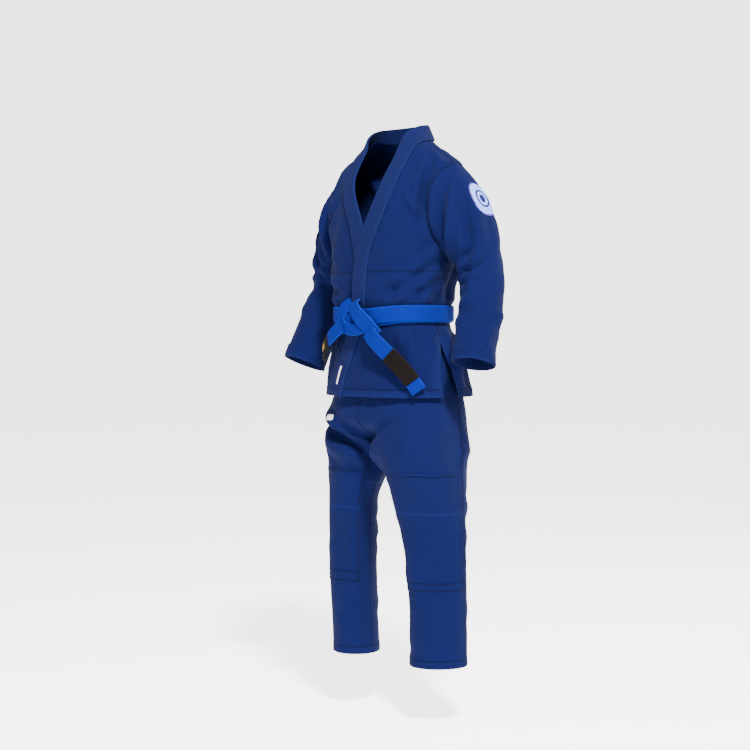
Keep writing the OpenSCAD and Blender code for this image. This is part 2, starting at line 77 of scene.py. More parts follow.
def curve(x, rows):
    """Smooth values at x through rows of (x, value, ...)."""
    rows = np.array(rows, float)
    rows = rows[np.argsort(rows[:, 0])]
    xs, ys = rows[:, 0], rows[:, 1:]
    slope = np.gradient(ys, xs, axis=0)
    x = np.clip(np.asarray(x, float), xs[0], xs[-1])
    i = np.clip(np.searchsorted(xs, x) - 1, 0, len(xs) - 2)
    h = (xs[i + 1] - xs[i])[..., None]
    s = (x - xs[i])[..., None] / h
    return ((2 * s ** 3 - 3 * s ** 2 + 1) * ys[i] + (s ** 3 - 2 * s ** 2 + s) * h * slope[i]
            + (3 * s ** 2 - 2 * s ** 3) * ys[i + 1] + (s ** 3 - s ** 2) * h * slope[i + 1])


def smooth(k):
    """0 to 1 with level ends."""
    k = np.clip(k, 0, 1)
    return k * k * (3 - 2 * k)


def spow(x, k):
    """A power that keeps the sign."""
    return np.sign(x) * np.abs(x) ** k


def unit(v):
    return v / np.maximum(np.linalg.norm(v, axis=-1, keepdims=True), 1e-9)


ROUND = 2.4
# The jacket's body: height, half width, front, back.
JACKET = [(0.850, 0.208, -0.142, 0.178), (0.905, 0.196, -0.137, 0.160), (0.960, 0.182, -0.132, 0.144),
          (1.010, 0.168, -0.129, 0.128), (1.055, 0.160, -0.128, 0.122), (1.105, 0.168, -0.132, 0.128),
          (1.190, 0.182, -0.134, 0.140), (1.290, 0.190, -0.132, 0.150), (1.340, 0.192, -0.124, 0.151),
          (1.380, 0.194, -0.112, 0.150), (1.435, 0.194, -0.088, 0.140), (1.462, 0.188, -0.070, 0.130),
          (1.484, 0.158, -0.056, 0.119), (1.508, 0.118, -0.043, 0.108), (1.535, 0.082, -0.026, 0.096)]
# The trousers' seat, in the same form.
SEAT = [(0.700, 0.206, -0.138, 0.138), (0.760, 0.210, -0.140, 0.150), (0.810, 0.204, -0.134, 0.152),
        (0.850, 0.192, -0.124, 0.150), (0.905, 0.178, -0.115, 0.138), (0.960, 0.164, -0.110, 0.124),
        (1.010, 0.150, -0.107, 0.110), (1.065, 0.143, -0.106, 0.105)]
# Where each front ends under its lapel: height, x.
LEFT_EDGE = [(0.850, -0.080), (0.905, -0.066), (0.960, -0.044), (1.000, -0.028), (1.055, -0.008), (1.105, 0.002),
             (1.180, 0.010), (1.234, 0.022), (1.287, 0.044), (1.339, 0.062), (1.393, 0.075), (1.445, 0.082),
             (1.490, 0.082), (1.535, 0.076)]
RIGHT_EDGE = [(0.850, 0.082), (0.960, 0.060), (1.055, 0.044), (1.105, 0.034), (1.160, 0.018), (1.222, 0.002),
              (1.283, -0.015), (1.353, -0.045), (1.422, -0.075), (1.480, -0.084), (1.535, -0.076)]
UNDER_DEPTH = 0.0112
ARMHOLE = (0.030, SHOULDER_H - 0.121)  # y and height of its middle
ARMHOLE_R = (0.088, 0.121)


def profile(z, rows):
    v = curve(z, rows)
    return v[..., 0], (v[..., 1] + v[..., 2]) / 2, (v[..., 2] - v[..., 1]) / 2


def around(t, z, rows=JACKET, off=0.0):
    """The point of a body section at angle t in degrees (0 is the wearer's left, -90 the front)."""
    half, mid, deep = profile(z, rows)
    c, s = np.cos(np.radians(t)), np.sin(np.radians(t))
    e = 2 / ROUND
    return np.stack([(half + off) * spow(c, e), mid + (deep + off) * spow(s, e), z + 0 * c], -1)


def angle_at_x(x, z):
    half, _, _ = profile(z, JACKET)
    return -np.degrees(np.arccos(np.clip(spow(x / half, ROUND / 2), -1, 1)))


def angle_at_y(y, z):
    _, mid, deep = profile(z, JACKET)
    return np.degrees(np.arcsin(np.clip(spow((y - mid) / deep, ROUND / 2), -1, 1)))


def under(x):
    """How deep the right front lies under the left one."""
    return -UNDER_DEPTH * smooth((x + 0.130) / 0.110)


# Sleeve rows as middle, half axis towards the body, half axis towards the back; the right one is mirrored.
CAP = [(0.188, 1.214, 0.196, 1.452, 0.030, 0.088), (0.200, 1.204, 0.234, 1.426, 0.033, 0.084),
       (0.207, 1.192, 0.268, 1.376, 0.038, 0.076), (0.210, 1.176, 0.301, 1.302, 0.043, 0.067),
       (0.213, 1.155, 0.322, 1.222, 0.046, 0.060)]
FOREARM = {
    "left": [((0.274, 0.046, 1.141), (0.12, -0.12, -0.985), 0.056, 0.058),
             ((0.279, 0.038, 1.085), (0.12, -0.25, -0.96), 0.055, 0.057),
             ((0.286, 0.014, 1.010), (0.10, -0.30, -0.95), 0.054, 0.056),
             ((0.293, -0.008, 0.938), (0.10, -0.30, -0.95), 0.056, 0.058)],
    "right": [((0.273, 0.030, 1.141), (0.12, -0.20, -0.97), 0.056, 0.058),
              ((0.281, 0.008, 1.085), (0.12, -0.33, -0.93), 0.055, 0.057),
              ((0.290, -0.022, 1.010), (0.12, -0.36, -0.92), 0.054, 0.056),
              ((0.302, -0.054, 0.932), (0.12, -0.36, -0.92), 0.056, 0.058)],
}
# Leg rows: height, x, y, half width, half depth, turn of the long side, roundness.
LEG = {
    "left": [(0.700, 0.105, 0.002, 0.102, 0.128, 0, 2.7), (0.672, 0.109, 0.005, 0.105, 0.120, 10, 2.3),
             (0.640, 0.115, 0.008, 0.104, 0.112, 25, 2.1), (0.580, 0.1235, 0.0095, 0.0975, 0.092, 40, 2.1),
             (0.520, 0.1315, 0.0115, 0.0905, 0.076, 45, 2.1), (0.480, 0.137, 0.0125, 0.0857, 0.070, 45, 2.1),
             (0.400, 0.143, 0.0145, 0.080, 0.066, 45, 2.1), (0.300, 0.150, 0.0145, 0.0765, 0.065, 45, 2.1),
             (0.220, 0.1525, 0.0130, 0.0762, 0.065, 45, 2.1), (0.150, 0.1535, 0.0115, 0.0762, 0.065, 45, 2.1)],
    "right": [(0.700, 0.100, 0.002, 0.097, 0.118, 0, 2.7), (0.672, 0.106, -0.004, 0.093, 0.104, 10, 2.3),
              (0.640, 0.120, -0.015, 0.091, 0.084, 30, 2.1), (0.580, 0.134, -0.019, 0.087, 0.069, 42, 2.1),
              (0.520, 0.137, -0.018, 0.084, 0.067, 45, 2.1), (0.480, 0.139, -0.015, 0.082, 0.066, 45, 2.1),
              (0.400, 0.142, -0.013, 0.079, 0.065, 45, 2.1), (0.300, 0.145, -0.008, 0.076, 0.064, 45, 2.1),
              (0.220, 0.146, -0.003, 0.074, 0.064, 45, 2.1), (0.148, 0.147, 0.001, 0.073, 0.064, 45, 2.1)],
}
SIDES = ("left", "right")


def mirror(points, side):
    return points * np.array([1 if side == "left" else -1, 1, 1])


def sleeve_rows(side):
    rows = []
    for i, (xi, zi, xo, zo, y, deep) in enumerate(CAP):
        y -= 0 if side == "left" else 0.004 * i
        rows.append([(xi + xo) / 2, y, (zi + zo) / 2, (xi - xo) / 2, 0, (zi - zo) / 2, 0, deep, 0])
    for middle, way, wide, deep in FOREARM[side]:
        n = unit(np.array(way))
        u = unit(np.cross((0, 1, 0), n))
        v = np.cross(n, u)
        rows.append([*middle, *(u * wide), *(v * deep)])
    rows = np.array(rows)
    run = np.concatenate([[0], np.cumsum(np.linalg.norm(np.diff(rows[:, :3], axis=0), axis=1))])
    return np.column_stack([run, rows])


SLEEVE = {side: sleeve_rows(side) for side in SIDES}
CAP_RUN = {side: SLEEVE[side][1][0] for side in SIDES}  # where the shoulder's ring ends
ARM_RUN = {side: SLEEVE[side][4][0] for side in SIDES}  # where the forearm's piece starts


def armhole_point(phi):
    """Points of the left armhole seam, phi from 0 at the armpit through the back to 180 at the top."""
    y = ARMHOLE[0] + ARMHOLE_R[0] * np.sin(np.radians(phi))
    z = ARMHOLE[1] - ARMHOLE_R[1] * np.cos(np.radians(phi))
    return angle_at_y(y, z), z


def sleeve_point(side, phi, run):
    """A point of a sleeve, phi as on the armhole, run in metres down its middle."""
    phi, run = np.broadcast_arrays(np.asarray(phi, float), np.asarray(run, float))

    def section(r):
        v = curve(r, SLEEVE[side])
        c, s = np.cos(np.radians(phi))[..., None], np.sin(np.radians(phi))[..., None]
        return v[..., 0:3] + v[..., 3:6] * spow(c, 0.96) + v[..., 6:9] * spow(s, 0.96)

    seam = around(*armhole_point(phi))
    rest = section(run) + (seam - section(0 * run)) * (1 - smooth(run / CAP_RUN[side]))[..., None]
    return mirror(rest, side)


def leg_point(side, u, z):
    """A point of a trouser leg, u from 0 at the inner seam through the front and outside to 1."""
    u, z = np.broadcast_arrays(np.asarray(u, float), np.asarray(z, float))
    v = curve(z, LEG[side])
    t = np.radians(180 + 360 * u - v[..., 4])
    e = 2 / v[..., 5]
    turn = np.radians(v[..., 4])
    a, b = v[..., 2] * spow(np.cos(t), e), v[..., 3] * spow(np.sin(t), e)
    loop = np.stack([v[..., 0] + a * np.cos(turn) - b * np.sin(turn),
                     v[..., 1] + a * np.sin(turn) + b * np.cos(turn), z], -1)
    half = around(-90 + 180 * u, z, SEAT)
    k = smooth((0.80 - z) / (0.80 - CROTCH_H))[..., None]
    point = half * (1 - k) + loop * k
    seam = ((u <= 0) | (u >= 1)) & (z >= CROTCH_H - 1e-6)
    point[..., 0] = np.where(seam, 0, point[..., 0])
    return mirror(point, side)


# ---------- welded cloth shells ----------

class Shell:
    """Grids of points that share their edges, made into one surface, folded, and cut into pieces again."""

    def __init__(self):
        self.grids = {}

    def add(self, name, points, centres):
        d_row = np.linalg.norm(np.diff(points, axis=0), axis=2).mean(1)
        d_col = np.linalg.norm(np.diff(points, axis=1), axis=2).mean(0)
        u, v = np.meshgrid(np.concatenate([[0], np.cumsum(d_col)]), np.concatenate([[0], np.cumsum(d_row)]))
        self.grids[name] = {"rest": points, "centres": centres, "uv": np.stack([u, v], -1)}

    def weld(self):
        flat = np.concatenate([g["rest"].reshape(-1, 3) for g in self.grids.values()])
        _, first, self.index = np.unique(np.round(flat, 6) + 0.0, axis=0, return_index=True, return_inverse=True)
        self.index = self.index.ravel()
        self.points = flat[first]
        at = 0
        for g in self.grids.values():
            r, c = g["rest"].shape[:2]
            ids = self.index[at:at + r * c].reshape(r, c)
            at += r * c
            quads = np.stack([ids[:-1, :-1], ids[:-1, 1:], ids[1:, 1:], ids[1:, :-1]], -1)
            p = g["rest"]
            n = np.cross(p[:-1, 1:] - p[:-1, :-1], p[1:, :-1] - p[:-1, :-1])
            middle = (p - g["centres"])[:-1, :-1]
            if (n * middle).sum() < 0:
                quads = quads[..., ::-1]
            g["ids"], g["quads"] = ids, quads
        self.faces = np.concatenate([g["quads"].reshape(-1, 4) for g in self.grids.values()])

    def normals(self):
        p = self.points[self.faces]
        n = np.cross(p[:, 2] - p[:, 0], p[:, 3] - p[:, 1])
        total = np.zeros_like(self.points)
        for k in range(4):
            np.add.at(total, self.faces[:, k], n)
        return unit(total)

    def move(self, amount):
        self.points = self.points + self.normals() * amount[:, None]

    def relax(self, rounds, keep=None):
        """Evens the surface out a little; points in keep stay."""
        edges = np.concatenate([self.faces[:, [k, (k + 1) % 4]] for k in range(4)])
        for _ in range(rounds):
            total = np.zeros_like(self.points)
            count = np.zeros(len(self.points))
            np.add.at(total, edges[:, 0], self.points[edges[:, 1]])
            np.add.at(total, edges[:, 1], self.points[edges[:, 0]])
            np.add.at(count, edges.ravel(), 1)
            new = total / np.maximum(count, 1)[:, None]
            k = 0.5 if keep is None else 0.5 * (1 - keep)[:, None]
            self.points = self.points + (new - self.points) * k

    def border(self):
        """Marks the points on free edges."""
        pairs = np.sort(np.concatenate([self.faces[:, [k, (k + 1) % 4]] for k in range(4)]), axis=1)
        uniq, count = np.unique(pairs, axis=0, return_counts=True)
        loose = uniq[count == 1]
        mark = np.zeros(len(self.points), bool)
        mark[loose.ravel()] = True
        return mark, {tuple(e) for e in loose}

    def grid(self, name):
        g = self.grids[name]
        return self.points[g["ids"]], self.normals()[g["ids"]]

    def wear(self):
        """1 at a free edge, fading over three cells."""
        mark, _ = self.border()
        w = mark.astype(float)
        for _ in range(3):
            spread = w.copy()
            for k in range(4):
                np.maximum.at(spread, self.faces[:, k], w[self.faces[:, (k + 1) % 4]] * 0.72)
                np.maximum.at(spread, self.faces[:, (k + 1) % 4], w[self.faces[:, k]] * 0.72)
            w = spread
        return w

    def piece(self, name, parts, thick=CLOTH_T):
        """A closed-edged piece of cloth from parts, a list of (grid name, row slice)."""
        n = self.normals()
        total = len(self.points)
        outer, inner = self.points, self.points - n * thick
        count = {}
        for grid_name, rows in parts:
            for q in self.grids[grid_name]["quads"][rows].reshape(-1, 4):
                for k in range(4):
                    e = (min(q[k], q[(k + 1) % 4]), max(q[k], q[(k + 1) % 4]))
                    count[e] = count.get(e, 0) + 1
        loose = {e for e, n_faces in count.items() if n_faces == 1}
        faces, uvs = [], []
        for grid_name, rows in parts:
            g = self.grids[grid_name]
            quads, ids, uv = g["quads"][rows], g["ids"], g["uv"]
            r0 = rows.start or 0
            for i in range(quads.shape[0]):
                for j in range(quads.shape[1]):
                    corner = {ids[i + r0 + a, j + b]: uv[i + r0 + a, j + b] for a in (0, 1) for b in (0, 1)}
                    q = quads[i, j]
                    if len(set(q)) < 4:
                        continue
                    lookup = [corner[v] for v in q]
                    faces.append(tuple(q))
                    uvs.append(lookup)
                    faces.append(tuple(v + total for v in q[::-1]))
                    uvs.append(lookup[::-1])
                    for k in range(4):
                        a, b = q[k], q[(k + 1) % 4]
                        if (min(a, b), max(a, b)) in loose:
                            faces.append((b, a, a + total, b + total))
                            uvs.append([lookup[(k + 1) % 4], lookup[k], lookup[k], lookup[(k + 1) % 4]])
        points = np.concatenate([outer, inner])
        normals = np.concatenate([n, -n])
        wear = np.concatenate([self.wear()] * 2)
        used = np.unique(np.array([v for f in faces for v in f]))
        new = np.full(2 * total, -1)
        new[used] = np.arange(len(used))
        return mesh_piece(name, points[used], [[new[v] for v in f] for f in faces], uvs, wear[used], normals[used])


def mesh_piece(name, points, faces, uvs=None, wear=None, normals=None):
    mesh = bpy.data.meshes.new(name)
    mesh.from_pydata((np.asarray(points) + (0, 0, LIFT)).tolist(), [], [[int(v) for v in f] for f in faces])
    if uvs is not None:
        layer = mesh.uv_layers.new(name="UVMap")
        layer.data.foreach_set("uv", np.array([c for f in uvs for c in f], np.float32).ravel())
    if wear is not None:
        mesh.attributes.new("wear", "FLOAT", "POINT").data.foreach_set("value", np.asarray(wear, np.float32))
    mesh.shade_smooth()
    if normals is None:
        mesh.set_sharp_from_angle(angle=math.radians(55))
    else:
        mesh.normals_split_custom_set_from_vertices(np.asarray(normals).tolist())
    mesh.update()
    piece = bpy.data.objects.new(name, mesh)
    bpy.context.scene.collection.objects.link(piece)
    return piece


# ---------- folds ----------

def distance_to(points, line):
    """Distance of each point from a line of points, and how far along it (0 to 1) the nearest place is."""
    best = np.full(len(points), 1e9)
    along = np.zeros(len(points))
    lengths = np.linalg.norm(np.diff(line, axis=0), axis=1)
    run = np.concatenate([[0], np.cumsum(lengths)]) / lengths.sum()
    for i in range(len(line) - 1):
        a, ab = line[i], line[i + 1] - line[i]
        s = np.clip(((points - a) @ ab) / (ab @ ab), 0, 1)
        d = np.linalg.norm(points - (a + s[:, None] * ab), axis=1)
        near = d < best
        best = np.where(near, d, best)
        along = np.where(near, run[i] + s * (run[i + 1] - run[i]), along)
    return best, along


def refined(place, knots, count=14):
    """A fine line on a surface through a few knots given in the surface's own two coordinates."""
    knots = np.array(knots, float)
    rows = np.column_stack([np.linspace(0, 1, len(knots)), knots])
    v = curve(np.linspace(0, 1, count), rows.tolist())
    return place(v[:, 0], v[:, 1])


def fold_amount(points, folds):
    """Sum of folds, each (line, depth, width): a negative depth is a groove."""
    total = np.zeros(len(points))
    for line, depth, width in folds:
        d, along = distance_to(points, line)
        taper = np.sin(np.pi * np.clip(along, 0.02, 0.98)) ** 0.6
        sharp = np.exp(-(d / width) ** 2)
        beside = np.exp(-((d - 2.1 * width) / width) ** 2)
        total += depth * taper * (sharp - 0.45 * beside)
    return total


def ripple(points, scale, seed):
    """Smooth noise, stretched along the height."""
    return np.array([noise.noise(Vector((x * scale[0] + seed, y * scale[1], z * scale[2]))) for x, y, z in points])


# ---------- the jacket's surface ----------

N_SIDE, N_HOLE, N_TOP, N_FRONT, N_BACK, N_SKIRT = 6, 36, 14, 36, 64, 50


def side_line(front):
    """Angle and height of the side seam, the armhole and the shoulder seam, upwards."""
    hole_t, hole_z = armhole_point(np.linspace(360 if front else 0, 180, N_HOLE + 1))
    k, top = np.arange(N_SIDE) / N_SIDE, np.arange(1, N_TOP + 1) / N_TOP
    t = np.concatenate([hole_t[0] * k, hole_t, hole_t[-1] * (1 - top)])
    z = np.concatenate([CHEST_SEAM_H + (hole_z[0] - CHEST_SEAM_H) * k, hole_z,
                        SHOULDER_H + (NECK_H - SHOULDER_H) * top])
    return t, z


def vent(z, wide=2.0):
    """How far the side edge is open below the vent's top, in degrees."""
    return wide * smooth((VENT_H - z) / 0.10)


def edge_x(side, z):
    return curve(z, LEFT_EDGE)[..., 0] if side == "left" else curve(z, RIGHT_EDGE)[..., 0]


def front_surface(side, t, z):
    """A point of a front; t is as on the wearer's left."""
    if side == "left":
        return around(t, z)
    x = around(-180 - t, z)[..., 0]
    return around(-180 - t, z, off=under(x) * (1 - smooth((z - 1.30) / 0.10)))


def front_grid(side, lower):
    if lower:
        z_side = z_edge = np.linspace(CHEST_SEAM_H, HEM_H, N_SKIRT + 1)
        t_side = -vent(z_side, 12.0)
    else:
        t_side, z_side = side_line(True)
        z_edge = np.linspace(CHEST_SEAM_H, NECK_H, len(z_side))
    way = 1 if side == "left" else -1
    t_edge = angle_at_x(way * edge_x(side, z_edge), z_edge)
    j = np.linspace(0, 1, N_FRONT + 1)
    t = t_edge[:, None] + (t_side - t_edge)[:, None] * j
    return front_surface(side, t, z_edge[:, None] + (z_side - z_edge)[:, None] * j)


def back_grid(lower):
    if lower:
        z = np.linspace(CHEST_SEAM_H, HEM_H, N_SKIRT + 1)
        t0 = vent(z)
    else:
        t0, z = side_line(False)
    t = t0[:, None] + (180 - 2 * t0)[:, None] * np.linspace(0, 1, N_BACK + 1)
    return around(t, z[:, None] + 0 * t)


def skirt_row(z):
    return int(round((CHEST_SEAM_H - z) / (CHEST_SEAM_H - HEM_H) * N_SKIRT))


def inside(points):
    """The body's middle line at each point's height."""
    return points * (0, 0, 1) + (0, 0.02, 0)


jacket = Shell()
for side in SIDES:
    for lower, part in ((False, "chest"), (True, "front")):
        grid = front_grid(side, lower)
        jacket.add(side + "_" + part, grid, inside(grid))
for lower, part in ((False, "back_upper"), (True, "back_lower")):
    grid = back_grid(lower)
    jacket.add(part, grid, inside(grid))
SLEEVE_ROWS = {}
for side in SIDES:
    end = SLEEVE[side][-1][0]
    stops = [0, CAP_RUN[side], ARM_RUN[side], end]
    runs, at = [0.0], [0]
    for a, b in zip(stops, stops[1:]):
        n = max(4, int(round((b - a) / CELL)))
        runs += list(np.linspace(a, b, n + 1)[1:])
        at.append(at[-1] + n)
    runs = np.array(runs)[:, None]
    SLEEVE_ROWS[side] = at
    middle = mirror(curve(runs, SLEEVE[side])[..., 0:3], side)
    jacket.add(side + "_sleeve", sleeve_point(side, np.linspace(0, 360, 73)[None], runs), middle)
jacket.weld()


def on_sleeve(side):
    return lambda phi, run: sleeve_point(side, phi, run)


def lapel_centre(side):
    z = np.linspace(HEM_H, 1.50, 60)
    way = 1 if side == "left" else -1
    return front_surface(side, angle_at_x(way * edge_x(side, z), z), z)


def jacket_folds():
    rnd = np.random.RandomState(11)
    folds = []
    for side in SIDES:
        way = 0.85 if side == "left" else 1.0

        def chest(t, z, side=side):
            return front_surface(side, t, z)

        hole = around(*armhole_point(np.linspace(196, 352, 30)))
        folds.append((mirror(hole, side), -0.005, 0.009))
        hole = around(*armhole_point(np.linspace(8, 160, 30)))
        folds.append((mirror(hole, side), -0.008, 0.012))
        for knots, depth, width in [
                ([(-27, 1.29), (-33, 1.36), (-34, 1.43), (-26, 1.49)], -0.0150, 0.010),
                ([(-20, 1.27), (-24, 1.34), (-22, 1.41)], 0.0085, 0.012),
                ([(-56, 1.395), (-44, 1.345), (-28, 1.325)], 0.0070, 0.009),
                ([(-50, 1.345), (-38, 1.312), (-24, 1.290)], -0.0072, 0.009),
                ([(-18, 1.142), (-44, 1.150), (-70, 1.148)], 0.0042, 0.010),
                ([(-30, 1.205), (-50, 1.222), (-66, 1.215)], 0.0030, 0.012),
                ([(-36, 1.25), (-44, 1.33), (-42, 1.42)], 0.0050, 0.020),
                ([(-10, 1.235), (-26, 1.195), (-44, 1.165), (-62, 1.150)], 0.0080, 0.013),
                ([(-4, 1.190), (-20, 1.150), (-40, 1.120), (-58, 1.100)], 0.0095, 0.013),
                ([(-2, 1.140), (-14, 1.110), (-28, 1.095)], 0.0060, 0.012),
                ([(-12, 1.100), (-40, 1.092), (-70, 1.090)], 0.0085, 0.016),
                ([(-6, 1.015), (-14, 0.950), (-17, 0.870)], 0.0075, 0.018),
                ([(-34, 1.020), (-38, 0.940), (-36, 0.865)], 0.0055, 0.020),
                ([(-58, 1.018), (-56, 0.950), (-60, 0.880)], -0.0045, 0.018)]:
            folds.append((refined(chest, knots), depth * way, width))
        for t in np.arange(-8, -74, -9.5):
            z = 1.083 + 0.004 * rnd.rand()
            knots = [(t, z), (t + rnd.uniform(-4, 2), z + 0.03),
                     (t + rnd.uniform(-7, 4), z + 0.045 + 0.03 * rnd.rand())]
            folds.append((refined(chest, knots, 8), rnd.choice((-1, 1)) * rnd.uniform(0.0025, 0.0045), 0.008))
            knots = [(t, 1.028), (t + rnd.uniform(-2, 2), 1.00), (t + rnd.uniform(-4, 4), 0.965)]
            folds.append((refined(chest, knots, 8), rnd.choice((-1, 1)) * rnd.uniform(0.002, 0.004), 0.008))
        arm, cap, elbow = on_sleeve(side), CAP_RUN[side], ARM_RUN[side]
        for knots, depth, width in [
                ([(198, 0.012), (232, 0.024), (268, 0.030), (304, 0.032), (338, 0.026)], -0.0175, 0.0095),
                ([(222, 0.050), (262, 0.062), (302, 0.066), (330, 0.06)], 0.0085, 0.013),
                ([(212, 0.05), (226, 0.09), (250, 0.14), (285, 0.20)], -0.0105, 0.010),
                ([(190, 0.05), (205, 0.11), (236, 0.18), (275, 0.24)], 0.0055, 0.016),
                ([(300, cap), (322, 0.11), (340, 0.18)], -0.0070, 0.013),
                ([(250, cap + 0.02), (262, 0.12), (268, 0.20)], 0.0045, 0.016),
                ([(215, elbow - 0.035), (250, elbow - 0.020), (300, elbow - 0.030)], -0.0100, 0.0080),
                ([(200, elbow + 0.005), (245, elbow + 0.020), (310, elbow + 0.002)], -0.0120, 0.0085),
                ([(225, elbow + 0.050), (262, elbow + 0.040), (320, elbow + 0.052)], -0.0080, 0.0085),
                ([(180, elbow - 0.070), (225, elbow - 0.050), (260, elbow - 0.065)], 0.0045, 0.013),
                ([(170, elbow + 0.095), (220, elbow + 0.085), (285, elbow + 0.110)], 0.0050, 0.014),
                ([(235, elbow + 0.150), (280, elbow + 0.130), (330, elbow + 0.135)], -0.0045, 0.012),
                ([(150, elbow + 0.170), (200, elbow + 0.150), (240, elbow + 0.165)], -0.0035, 0.013),
                ([(20, elbow - 0.02), (60, elbow + 0.01), (110, elbow - 0.01)], 0.0060, 0.014),
                ([(40, 0.06), (80, 0.13), (130, 0.20)], 0.0060, 0.016),
                ([(90, elbow + 0.06), (120, elbow + 0.12), (110, elbow + 0.18)], -0.0045, 0.014)]:
            folds.append((refined(arm, knots), depth * (1 if side == "left" else 0.6), width))
    for t0 in (0, 90):
        for k in range(5):
            t = t0 + 12 + 15 * k + rnd.uniform(-3, 3)
            folds.append((refined(around, [(t, 1.082), (t + rnd.uniform(-5, 5), 1.14), (t + rnd.uniform(-9, 9), 1.21)]),
                          rnd.choice((-1, 1)) * rnd.uniform(0.004, 0.007), 0.013))
            folds.append((refined(around, [(t, 1.030), (t, 0.96), (t + rnd.uniform(-5, 5), 0.865)]),
                          rnd.choice((-1, 1)) * rnd.uniform(0.004, 0.007), 0.017))
    folds += [(refined(around, [(12, 1.096), (90, 1.10), (168, 1.096)], 40), 0.008, 0.017),
              (refined(around, [(32, 1.24), (48, 1.33), (62, 1.44)]), 0.006, 0.020),
              (refined(around, [(148, 1.24), (132, 1.33), (118, 1.44)]), 0.006, 0.020),
              (refined(around, [(20, 1.22), (46, 1.16), (74, 1.12)]), 0.006, 0.016),
              (refined(around, [(160, 1.22), (134, 1.16), (106, 1.12)]), -0.006, 0.016)]
    return folds


rest = jacket.points.copy()
amount = fold_amount(rest, jacket_folds())
amount += 0.0060 * ripple(rest, (7, 7, 4.5), 3.1)
crease = 1 - 2 * np.abs(ripple(rest, (13, 13, 11), 6.6))
busy = np.exp(-((rest[:, 2] - 1.10) / 0.07) ** 2) + 0.55 * (np.abs(rest[:, 0]) > 0.17)
amount += (0.0018 + 0.0042 * np.clip(busy, 0, 1)) * (crease ** 3 - 0.4) + 0.0024 * ripple(rest, (24, 24, 18), 9.7)
to_lapel = np.minimum(distance_to(rest, lapel_centre("left"))[0], distance_to(rest, lapel_centre("right"))[0])
torso = np.abs(rest[:, 0]) < 0.199
at_belt = 1 - smooth((np.abs(rest[:, 2] - 1.058) - 0.024) / 0.026)
amount = np.where(torso, amount * smooth((to_lapel - 0.024) / 0.034), amount)
amount = np.where(torso, amount * (1 - at_belt) - 0.0016 * at_belt, amount)
amount = np.where(torso & (rest[:, 2] > 1.50), amount * 0.4, amount)
jacket.move(amount)
jacket.relax(1, keep=jacket.border()[0].astype(float))

# ---------- the trousers' surface ----------

trousers = Shell()
LEG_ROWS = {}
for side in SIDES:
    stops = [1.060, CROTCH_H, KNEE_H, LEG[side][-1][0]]
    heights, at = [stops[0]], [0]
    for a, b in zip(stops, stops[1:]):
        n = int(round((a - b) / CELL))
        heights += list(np.linspace(a, b, n + 1)[1:])
        at.append(at[-1] + n)
    heights = np.array(heights)[:, None]
    LEG_ROWS[side] = (at, heights[:, 0])
    middle = leg_point(side, np.linspace(0, 1, 9)[None, :-1], heights).mean(1)[:, None]
    trousers.add(side + "_leg", leg_point(side, np.linspace(0, 1, 97)[None], heights), middle)
trousers.weld()


def trouser_folds():
    folds = []
    shapes = {
        "left": [([(0.06, 0.79), (0.12, 0.74), (0.10, 0.66), (0.04, 0.60)], 0.0085, 0.016),
                 ([(0.34, 0.83), (0.27, 0.77), (0.17, 0.71), (0.06, 0.67)], 0.0060, 0.018),
                 ([(0.20, 0.62), (0.24, 0.45), (0.23, 0.25)], 0.0050, 0.026),
                 ([(0.40, 0.74), (0.43, 0.62), (0.42, 0.46)], 0.0030, 0.020),
                 ([(0.02, 0.74), (0.10, 0.765), (0.20, 0.80)], -0.0060, 0.010),
                 ([(0.02, 0.67), (0.10, 0.645), (0.20, 0.655)], -0.0050, 0.010),
                 ([(0.10, 0.52), (0.22, 0.50), (0.36, 0.535)], -0.0030, 0.016),
                 ([(0.08, 0.36), (0.20, 0.40), (0.34, 0.37)], 0.0030, 0.018),
                 ([(0.06, 0.205), (0.18, 0.185), (0.33, 0.215)], -0.0035, 0.013)],
        "right": [([(0.37, 0.785), (0.30, 0.770), (0.18, 0.735), (0.10, 0.69), (0.04, 0.64)], -0.0175, 0.012),
                  ([(0.33, 0.81), (0.27, 0.800), (0.17, 0.770), (0.08, 0.73)], 0.0080, 0.014),
                  ([(0.47, 0.79), (0.43, 0.75), (0.40, 0.70)], -0.0060, 0.009),
                  ([(0.40, 0.73), (0.30, 0.715), (0.20, 0.68)], 0.0060, 0.013),
                  ([(0.48, 0.70), (0.42, 0.735), (0.36, 0.76)], -0.0050, 0.012),
                  ([(0.08, 0.64), (0.14, 0.50), (0.12, 0.33)], 0.0070, 0.016),
                  ([(0.30, 0.62), (0.31, 0.44), (0.30, 0.25)], 0.0045, 0.026),
                  ([(0.04, 0.28), (0.14, 0.25), (0.30, 0.28)], -0.0035, 0.013),
                  ([(0.10, 0.43), (0.20, 0.46), (0.38, 0.42)], 0.0030, 0.016)],
    }
    both = [([(0.60, 0.52), (0.75, 0.485), (0.90, 0.52)], -0.0080, 0.013),
            ([(0.62, 0.45), (0.76, 0.430), (0.88, 0.46)], -0.0065, 0.012),
            ([(0.56, 0.58), (0.68, 0.550), (0.82, 0.57)], 0.0060, 0.014),
            ([(0.96, 0.68), (0.86, 0.72), (0.72, 0.745)], 0.0070, 0.016),
            ([(0.97, 0.62), (0.88, 0.64), (0.78, 0.68)], -0.0060, 0.014),
            ([(0.75, 0.66), (0.76, 0.50), (0.74, 0.30)], 0.0050, 0.024),
            ([(0.62, 0.30), (0.76, 0.26), (0.90, 0.29)], 0.0050, 0.015)]
    for side in SIDES:
        def place(u, z, side=side):
            return leg_point(side, u, z)
        for knots, depth, width in shapes[side] + both:
            folds.append((refined(place, knots), depth, width))
    return folds


